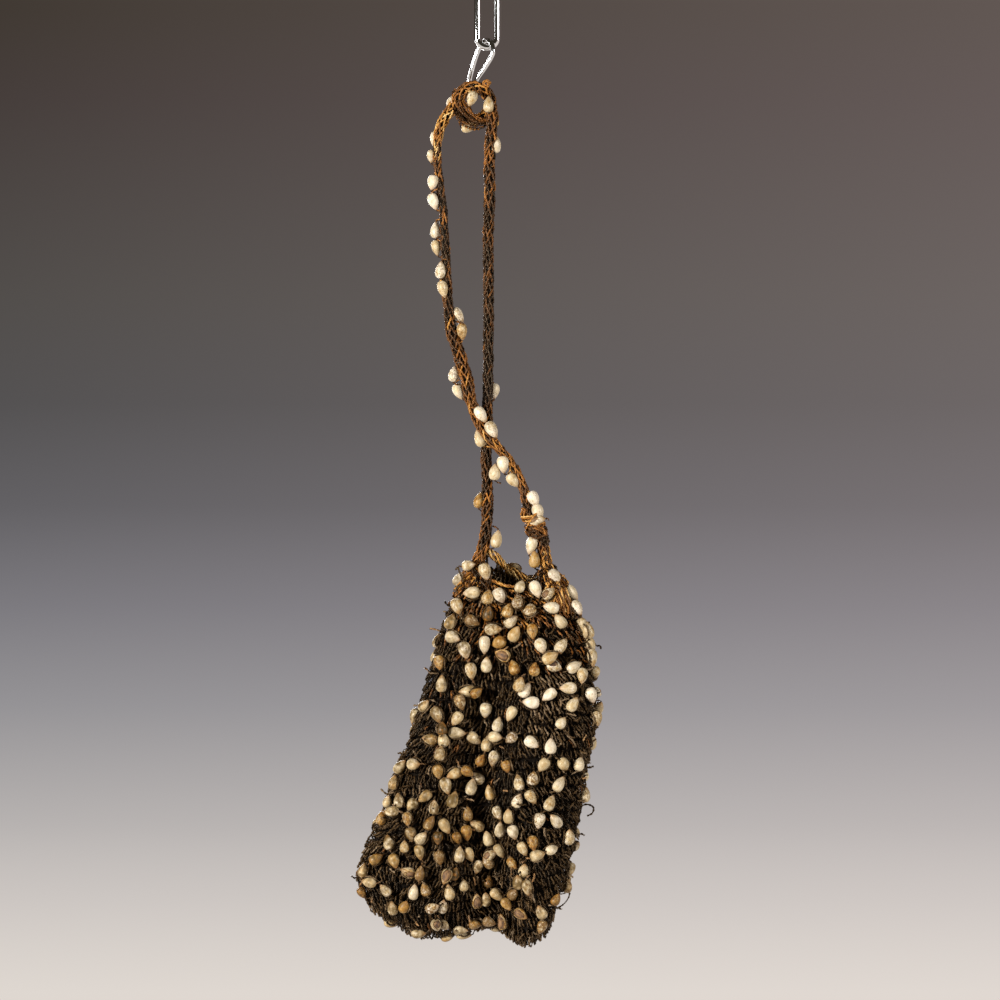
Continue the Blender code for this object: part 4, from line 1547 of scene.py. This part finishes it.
def foot_strings(net, route, chance):
    """The strap's strings where they spread over the mouth at each foot, each its own way."""
    lines, tones = [], []
    t = np.linspace(0, 1, 11)
    for spread in SPREADS:
        start, way = (0.0, 1.0) if spread.foot == "right" else (route.length, -1.0)
        middle = route.points[0] if spread.foot == "right" else route.points[-1]
        for i in range(spread.count):
            across = (i + chance.uniform(0.2, 0.8)) / spread.count
            x = spread.left + (spread.right - spread.left) * across
            z = chance.uniform(spread.top, spread.low)
            end, out = net.nearest(x, z, spread.front)
            side = (across - 0.5) * 1.6
            facing = -1.0 if spread.front else 1.0
            along = np.array(start + way * chance.uniform(1.5, 7.0))
            upper = route.read(route.points, along) + np.array([side * 1.8, facing * 1.6, 0.0])
            foot = middle + np.array([side * 2.6, facing * 2.0, chance.uniform(-1.5, 1.0)])
            over = foot * 0.5 + end * 0.5 + out * 0.9
            over[2] = max(over[2], end[2] + 1.0)
            line = bent([upper, foot, over, end - out * 0.2, end - out * 2.2])
            phase = chance.uniform(0, TURN)
            sway = np.sin(math.pi * t) * np.sin(TURN * t * chance.uniform(0.8, 2.8) + phase)
            line[:, 0] += 1.5 * sway
            line[:, 1] -= spread.front * abs(sway)
            lines.append(line)
            tones.append(np.clip(spread.tone + chance.normal(0, 0.16), 0.1, 0.92))
    return np.array(lines), np.array(tones)


# The rope that runs from the left foot down along the back of the mouth.
MOUTH_ROPE = [
    (-3.4, 0.4, -272.4),
    (-0.6, 1.2, -275.2),
    (2.4, 2.0, -277.4),
    (6.0, 3.0, -280.2),
    (9.6, 4.0, -284.0),
    (13.3, 5.0, -286.4),
    (16.9, 6.2, -288.4),
    (20.5, 6.4, -289.2),
    (24.5, 6.0, -287.6),
]
ROPE_STRINGS = 11
ROPE_LAY = 15.0  # mm along the rope in which its strings make a full turn
MOUTH_HANGERS = 38  # places along the rope where dark loops hang from it
MOUTH_GAP = (0.4, 4.2)  # where daylight shows between the rope and the netting


def mouth_rope(chance):
    """Loose golden strings laid together and twisted along the mouth rope."""
    route = Route(MOUTH_ROPE)
    along = np.linspace(0.2, route.length - 0.2, 26)
    lines = []
    for k in range(ROPE_STRINGS):
        phase = chance.uniform(0, TURN)
        wind = TURN * (along / ROPE_LAY + k / ROPE_STRINGS) + 0.5 * np.sin(along / 2.3 + phase)
        radius = 1.4 + 0.55 * np.sin(along / 2.6 + phase)
        lines.append(route.place(along, radius, wind))
    return np.array(lines)


def mouth_hangers(net, chance):
    """Dark loops that fill the back of the mouth, from the rope down into the bag."""
    route = Route(MOUTH_ROPE)
    lines = []
    for along in np.linspace(2.0, route.length - 1.0, MOUTH_HANGERS):
        top = route.read(route.points, np.array(along))
        if MOUTH_GAP[0] < top[0] < MOUTH_GAP[1]:
            continue
        for k in range(2):
            x = top[0] + chance.uniform(-1.2, 1.2)
            share = net.share_at(0.0, x, front=False)
            levels = np.array([1.0, 4.5, 8.0]) / net.height
            inside, _ = net.place(levels, np.full(3, share), np.array([-1.2, -2.6, -3.2]))
            start = top + np.array([chance.uniform(-0.6, 0.6), 0.6 - 1.4 * k, 0.4])
            sag = (start + inside[0]) / 2 + np.array([chance.uniform(-0.7, 0.7), 0.3 - k, 0.0])
            lines.append(bent([start, sag, *inside], 13))
    return np.array(lines)


KNOB_AT = (-0.3, -6.6, -55.9)
KNOB_TURNS = 2.2


def knob_string():
    """The small knob of coiled string on the strap's round turn."""
    t = np.linspace(0, 1, 40)
    wind = TURN * KNOB_TURNS * t
    radius = 2.0 - 1.5 * t
    x = KNOB_AT[0] + np.cos(wind) * radius
    y = KNOB_AT[1] - 1.2 * t + 0.4
    z = KNOB_AT[2] + np.sin(wind) * radius
    return np.stack([x, y, z], axis=1)[None]


def inner_loops(net, chance):
    """The loops that show on the inside, through the mouth."""
    lines = []
    t = np.linspace(-1, 1, STITCH_POINTS)[None, :]
    for row in range(INNER_ROWS):
        level = (row * INNER_ROW_STEP + 2.0) / net.height
        count = int(net.girth_at(level) / INNER_STEP)
        share = (np.arange(count) + 0.5 * (row % 2)) / count
        down = np.full(count, level)
        bow = chance.uniform(-0.6, 0.6, count)[:, None] * (1 - t * t)
        lean = chance.normal(0.1, 0.2, count)[:, None]
        right = t * 3.0 * np.sin(lean) + bow
        below = t * 3.0 * np.cos(lean)
        lines.append(net.laid(down, share, right, below, -3.4 - arch(t, 4) * 1.2))
    return np.concatenate(lines)


def lashing_strings(chance):
    """The untidy turns of cord wound round the right foot of the strap."""
    axis = unit(np.array(LASHING_ALONG))
    side = unit(np.cross(axis, (0.0, 1.0, 0.0)))
    other = np.cross(axis, side)
    t = np.linspace(-1, 1, 120)
    lines = []
    for winding in WINDINGS:
        start = chance.uniform(0, TURN)
        wind = start + math.pi * winding.turns * t
        radius = LASHING_RADIUS + winding.lift - 0.5 * t**2 + 0.35 * np.sin(wind * 0.7 + start)
        along = winding.middle + winding.travel / 2 * t + winding.tilt * np.sin(wind + 2 * start)
        way = side * np.cos(wind)[:, None] + other * np.sin(wind)[:, None]
        lines.append(np.array(LASHING_AT) + axis * along[:, None] + way * radius[:, None])
    return np.array(lines)


def tangled_strings(chance):
    """Strings bunched up on the lashing, each on a slanted ring of its own, with their tones."""
    t = np.linspace(0, TURN, 36)[:, None]
    lines, tones = [], []
    for tangle in TANGLES:
        for _ in range(tangle.strings):
            across = unit(chance.normal(0, 1, 3))
            up = unit(np.cross(across, chance.normal(0, 1, 3)))
            swell = 1 + 0.15 * np.sin(3 * t + chance.uniform(0, TURN))
            ring = (across * np.cos(t) + up * np.sin(t)) * swell
            lines.append(np.array(tangle.middle) + ring * np.array(tangle.size))
            tones.append(chance.uniform(*tangle.tones))
    return np.array(lines), np.array(tones)


# ---------------------------------------------------------------- loose ends

FIBRES = 260
# How thick each end is, y where it starts, and where it runs past the sides, x and z.
LOOSE = [
    (1.6, -1.0, [(47.0, -330.5), (50.4, -332.2), (52.2, -334.2), (50.8, -336.8), (48.6, -336.2)]),
    (0.9, 0.0, [(43.5, -396.5), (47.0, -395.2), (50.2, -396.6), (49.6, -399.4), (47.2, -400.6)]),
    (1.3, -1.0, [(40.5, -406.6), (42.6, -409.4), (44.4, -409.0), (46.0, -409.8)]),
    (1.6, -2.0, [(33.5, -429.6), (37.4, -433.0), (38.9, -437.5), (36.6, -441.6), (32.8, -444.2)]),
    (
        1.4,
        -5.0,
        [(-14.8, -284.6), (-13.7, -282.9), (-13.3, -284.6), (-12.3, -287.0), (-11.2, -290.2)],
    ),
    (1.2, -2.0, [(-15.6, -303.2), (-17.8, -301.6), (-19.2, -300.6), (-20.0, -299.2)]),
    (0.4, 0.0, [(-57.0, -430.0), (-60.4, -429.2), (-62.4, -430.0), (-64.0, -429.0)]),
    (0.9, 0.0, [(49.5, -317.6), (51.6, -320.4), (53.2, -320.2), (53.8, -322.0)]),
]


def loose_strings():
    """Ends that have worked free at the sides."""
    lines = [
        bent([(x, ahead - 0.3 * i, z) for i, (x, z) in enumerate(line)], 13)
        for _, ahead, line in LOOSE
    ]
    return np.array(lines), np.array([thick for thick, _, _ in LOOSE])


def fibres(net, chance):
    """Fine fibres that stand off the strings."""
    t = np.linspace(0, 1, 6)[:, None]
    lines = []
    for _ in range(FIBRES):
        down, share = chance.uniform(0.0, 0.99), chance.random()
        spot, out = net.place(np.array(down), np.array(share), np.array(-0.6))
        drift = chance.normal(0, 1.0, 3)
        reach = chance.uniform(2.0, 5.0)
        way = unit(out + drift * 0.8)
        curl = np.cross(way, chance.normal(0, 1.0, 3)) * 0.9
        lines.append(spot + way * reach * t + curl * t**2 * reach * 0.4)
    return np.array(lines)


# ---------------------------------------------------------------- the steel links

LINK_WIRE = 3.0
LINK_LENGTH = 42.5  # outside
LINK_WIDTH = 12.3
LINK_BEND_STEPS = 16
HOOK_WIRE = 2.2
HOOK_STEP = 0.8
# The wire link's centre line, closed: x, y, z.
HOOK_ROUTE = [
    (0.2, 0.0, -34.5),
    (1.5, -2.3, -35.2),
    (2.6, -4.0, -37.6),
    (2.9, -4.4, -40.6),
    (1.6, -3.6, -43.6),
    (-1.4, -1.8, -48.2),
    (-4.6, -0.1, -52.6),
    (-6.2, 0.2, -56.9),
    (-6.6, 1.3, -60.1),
    (-7.1, 4.2, -61.3),
    (-7.7, 7.3, -60.2),
    (-8.3, 8.3, -56.8),
    (-8.3, 8.0, -52.4),
    (-6.9, 6.2, -47.0),
    (-5.2, 5.0, -41.6),
    (-3.4, 3.8, -37.4),
    (-1.4, 2.0, -35.0),
]


def chain_points():
    """The chain link's centre line, with the inside of its top bend at the origin."""
    radius = (LINK_WIDTH - LINK_WIRE) / 2
    top = LINK_WIRE / 2 - radius
    bottom = top - (LINK_LENGTH - LINK_WIDTH)
    arc = [math.pi * (1 - i / LINK_BEND_STEPS) for i in range(LINK_BEND_STEPS + 1)]
    points = [(radius * math.cos(a), 0.0, top + radius * math.sin(a)) for a in arc]
    return points + [(-radius * math.cos(a), 0.0, bottom - radius * math.sin(a)) for a in arc]


# ---------------------------------------------------------------- stage, light and camera

# The backdrop and the frame, in metres.
FLOOR = -0.60
FLOOR_FRONT = -4.0
BACKDROP_AT = 3.0
BACKDROP_TOP = 4.0
BACKDROP_BEND = 0.5
BACKDROP_BEND_STEPS = 12
BACKDROP_HALF = 5.0
CAMERA_AWAY = 2.0
FRAME_MIDDLE = (0.0061, -0.2516)  # x and z
FRAME_WIDTH = 0.472  # level with the hang point
SENSOR = 36.0  # mm
LIT_AT = (0.0, 0.0, -0.30)
# Each lamp's name, place, size and watts.
LAMPS = [
    ("key", (-1.25, -1.15, -0.1), 0.4, 52.0),
    ("side", (1.3, -0.85, 0.1), 0.5, 18.0),
    ("behind", (-0.4, 1.75, 0.1), 0.7, 20.0),
]


def backdrop_look():
    """A glow that falls off upwards, from the floor to a dark wall, and is redder at the right."""
    look = Look(
        "backdrop",
        {
            "Base Color": (0.0, 0.0, 0.0, 1.0),
            "Roughness": 1.0,
            "Specular IOR Level": 0.0,
            "Emission Strength": 1.0,
        },
    )
    apart = look.node("ShaderNodeSeparateXYZ", {}, {"Vector": look.here()}).outputs
    across, near, high = (Number(look, apart[axis]) for axis in "XYZ")
    grade = look.ramp((high + (near - BACKDROP_AT) * 0.15 + 0.9) * 0.8, GLOW)
    beside = ((across + 0.59) * 0.06).limited()
    warmed = look.mix(beside, grade, (1.0, 0.80, 0.78, 1.0))
    look.put(look.shader.inputs["Emission Color"], warmed)
    return look.material


def stage():
    """The floor and the wall, as one sheet with a soft bend between them."""
    mesh = bmesh.new()
    start = BACKDROP_AT - BACKDROP_BEND
    profile = [(FLOOR_FRONT, FLOOR)]
    for i in range(BACKDROP_BEND_STEPS + 1):
        angle = math.pi / 2 * i / BACKDROP_BEND_STEPS
        rise = BACKDROP_BEND * (1 - math.cos(angle))
        profile.append((start + BACKDROP_BEND * math.sin(angle), FLOOR + rise))
    profile.append((BACKDROP_AT, BACKDROP_TOP))
    verts = [mesh.verts.new((-BACKDROP_HALF, y, z)) for y, z in profile]
    edges = [mesh.edges.new(pair) for pair in zip(verts, verts[1:])]
    made = bmesh.ops.extrude_edge_only(mesh, edges=edges)
    moved = [v for v in made["geom"] if isinstance(v, bmesh.types.BMVert)]
    bmesh.ops.translate(mesh, verts=moved, vec=(2 * BACKDROP_HALF, 0, 0))
    bmesh.ops.recalc_face_normals(mesh, faces=mesh.faces)
    piece = bpy.data.objects.new("backdrop", finished(mesh, "backdrop"))
    piece.data.materials.append(backdrop_look())
    bpy.context.scene.collection.objects.link(piece)


def soft_light(name, place, size, watts):
    """A square lamp, in metres and watts, turned to the bag."""
    data = bpy.data.lights.new(name, "AREA")
    data.size = size
    data.energy = watts
    lamp = bpy.data.objects.new(name, data)
    lamp.location = place
    aim = Vector(LIT_AT) - Vector(place)
    lamp.rotation_euler = aim.to_track_quat("-Z", "Y").to_euler()
    bpy.context.scene.collection.objects.link(lamp)


def light_and_camera():
    scene = bpy.context.scene
    scene.view_settings.view_transform = "Standard"
    world = bpy.data.worlds.new("world")
    world.use_nodes = True
    sky = world.node_tree.nodes["Background"].inputs
    sky["Color"].default_value = (0.036, 0.030, 0.021, 1.0)
    sky["Strength"].default_value = 1.0
    scene.world = world
    for lamp in LAMPS:
        soft_light(*lamp)
    data = bpy.data.cameras.new("camera")
    data.sensor_width = SENSOR
    data.lens = SENSOR * CAMERA_AWAY / FRAME_WIDTH
    data.clip_end = 20.0
    view = bpy.data.objects.new("camera", data)
    view.location = (FRAME_MIDDLE[0], -CAMERA_AWAY, FRAME_MIDDLE[1])
    view.rotation_euler = (math.pi / 2, 0, 0)
    scene.collection.objects.link(view)
    scene.camera = view


# ---------------------------------------------------------------- the pieces

CHANCE_START = 11  # of the one run of random draws that everything follows

def netting_pieces(net, seeds, dark, brown, chance):
    """The loops, piece by piece, and the pocket behind them. No loop runs through a seed."""
    lines, places = stitches(net, chance)
    centres = lines[:, STITCH_POINTS // 2]
    tints, browned = netting_tints(centres, chance)
    _, thick, tints = bundle(chance, lines, (1.15, 1.5), tints)
    middles = np.array([seed.place for seed in seeds])
    gaps = np.array([np.linalg.norm(middles - centre, axis=1).min() for centre in centres])
    clear = gaps > SEED_CLEARANCE
    front = places[:, 1] < 0.5
    upper = places[:, 0] < FOOT_FROM
    picks = {
        "front_top": front & upper & ~browned,
        "front_foot": front & ~upper & ~browned,
        "back_top": ~front & upper & ~browned,
        "back_foot": ~front & ~upper & ~browned,
        "brown": browned,
    }
    loops = []
    for name, pick in picks.items():
        pick = pick & clear
        look, slot = (brown, "brown_string") if name == "brown" else (dark, "dark_string")
        picked = [(lines[pick], thick[pick], tints[pick])]
        loops.append(string_piece("net_loops_" + name, picked, look))
    slack = bundle(chance, stray_loops(net, chance), (1.2, 1.55), (0.15, 0.6))
    loops.append(string_piece("net_slack_loops", [slack], dark))
    hem = bundle(chance, hem_loops(net, chance), (1.55, 1.85), (0.2, 0.7))
    loops.append(string_piece("net_hem", [hem], dark))
    ground = add_piece("net_ground", netting_ground(net), [shade_fill_look()])
    solid = ground.modifiers.new("thickness", "SOLIDIFY")
    solid.thickness = GROUND_WALL * MM
    solid.offset = -1
    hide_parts("bag_net")
    return ground, loops


def steel_links():
    """The chain link and the wire link that the strap hangs from."""
    link_curve = cord_curve("link_wire", chain_points(), LINK_WIRE, closed=True)
    chain = add_piece("link_wire", link_curve, [steel_look("link_steel", 0.06)])
    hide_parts("chain_link")
    hook_points = smooth_route([*HOOK_ROUTE, HOOK_ROUTE[0]], HOOK_STEP)[:-1]
    hook_curve = cord_curve("hook_wire", hook_points, HOOK_WIRE, closed=True)
    hook = add_piece("hook_wire", hook_curve, [steel_look("wire_steel", 0.08)])
    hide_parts("wire_link")


def main():
    """Makes everything. The random draws follow one another in this order."""
    light_and_camera()
    stage()
    net = Netting()
    string_nodes(string_profile())
    chance = np.random.default_rng(CHANCE_START)
    dark = string_look("dark_string", DARK, 0.26)
    brown = string_look("brown_string", BROWN, 0.4)
    shells = [seed_look(), seed_inside_look()]

    taken = []
    seeds = placed_seeds(net, taken, chance) + strung_seeds(net, taken, chance)
    ground, loops = netting_pieces(net, seeds, dark, brown, chance)
    forms = {form: seed_form(form) for form in ("whole", "chipped", "split", "husk")}
    net_seeds = seed_piece("net_seeds", seeds, forms, shells)
    ties = seed_strings(seeds, chance)
    collars = seed_collars(seeds, chance)
    bundles = [
        bundle(chance, ties, (0.8, 1.05), (0.3, 0.9)),
        bundle(chance, collars, (1.2, 1.5), (0.15, 0.6)),
    ]
    net_ties = string_piece("net_seed_strings", bundles, dark)

    route = Route(strap_points())
    core_curve = cord_curve("strap_core", strap_points(), STRAP_CORE)
    # The core is near black as painted shade in the gaps between the strap's loops.
    core = add_piece("strap_core", core_curve, [shade_fill_look()])
    lines, tones = strap_loops(route, chance)
    bundles = [bundle(chance, lines, (1.5, 1.85), tones)]
    strap = string_piece("strap_loops", bundles, brown)
    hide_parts("strap")
    beside = strap_seeds(route, chance)
    strap_seed_piece = seed_piece("strap_seeds", beside, forms, shells)
    ties = seed_strings(beside, chance)
    bundles = [bundle(chance, ties, np.full(len(ties), 0.9), (0.3, 0.9))]
    strap_tie_piece = string_piece("strap_seed_strings", bundles, brown)

    rim_route, rim = mouth_strings(net)
    wraps = rim_wraps(net, rim_route, chance)
    bundles = [bundle(chance, rim, [0.88, 0.88, 0.88], [0.74, 0.62, 0.82])]
    rim_piece = string_piece("mouth_rim_cord", bundles, brown)
    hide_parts("mouth_rim")
    feet, tones = foot_strings(net, route, chance)
    rope = mouth_rope(chance)
    slack = slack_strings(chance)
    hangers = mouth_hangers(net, chance)
    bundles = [
        bundle(chance, feet, (0.7, 1.1), tones),
        bundle(chance, rope, (1.5, 2.0), (0.7, 1.0)),
        bundle(chance, knob_string(), [1.9], [0.66]),
        bundle(chance, slack, (1.1, 1.4), (0.3, 0.66)),
    ]
    feet_piece = string_piece("strap_feet", bundles, brown)
    bundles = [
        bundle(chance, inner_loops(net, chance), (1.4, 1.7), (0.2, 0.8)),
        bundle(chance, wraps, (1.0, 1.3), (0.1, 0.55)),
        bundle(chance, hangers, (1.3, 1.7), (0.1, 0.6)),
    ]
    loops.append(string_piece("net_loops_inside", bundles, dark))

    wound = lashing_strings(chance)
    tangled, tones = tangled_strings(chance)
    bundles = [
        bundle(chance, wound, [w.thick for w in WINDINGS], [w.tone for w in WINDINGS]),
        bundle(chance, tangled, (0.9, 1.3), tones),
    ]
    lashing = string_piece("lashing_turns", bundles, brown)
    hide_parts("strap_lashing")
    bundles = [bundle(chance, *loose_strings(), (0.2, 0.6))]
    loose = string_piece("loose_ends", bundles, dark)
    bundles = [bundle(chance, fibres(net, chance), (0.12, 0.3), (0.3, 0.95))]
    hair_piece = string_piece("loose_fibres", bundles, dark)
    steel_links()

    tuple(route.points[0] * MM)


main()
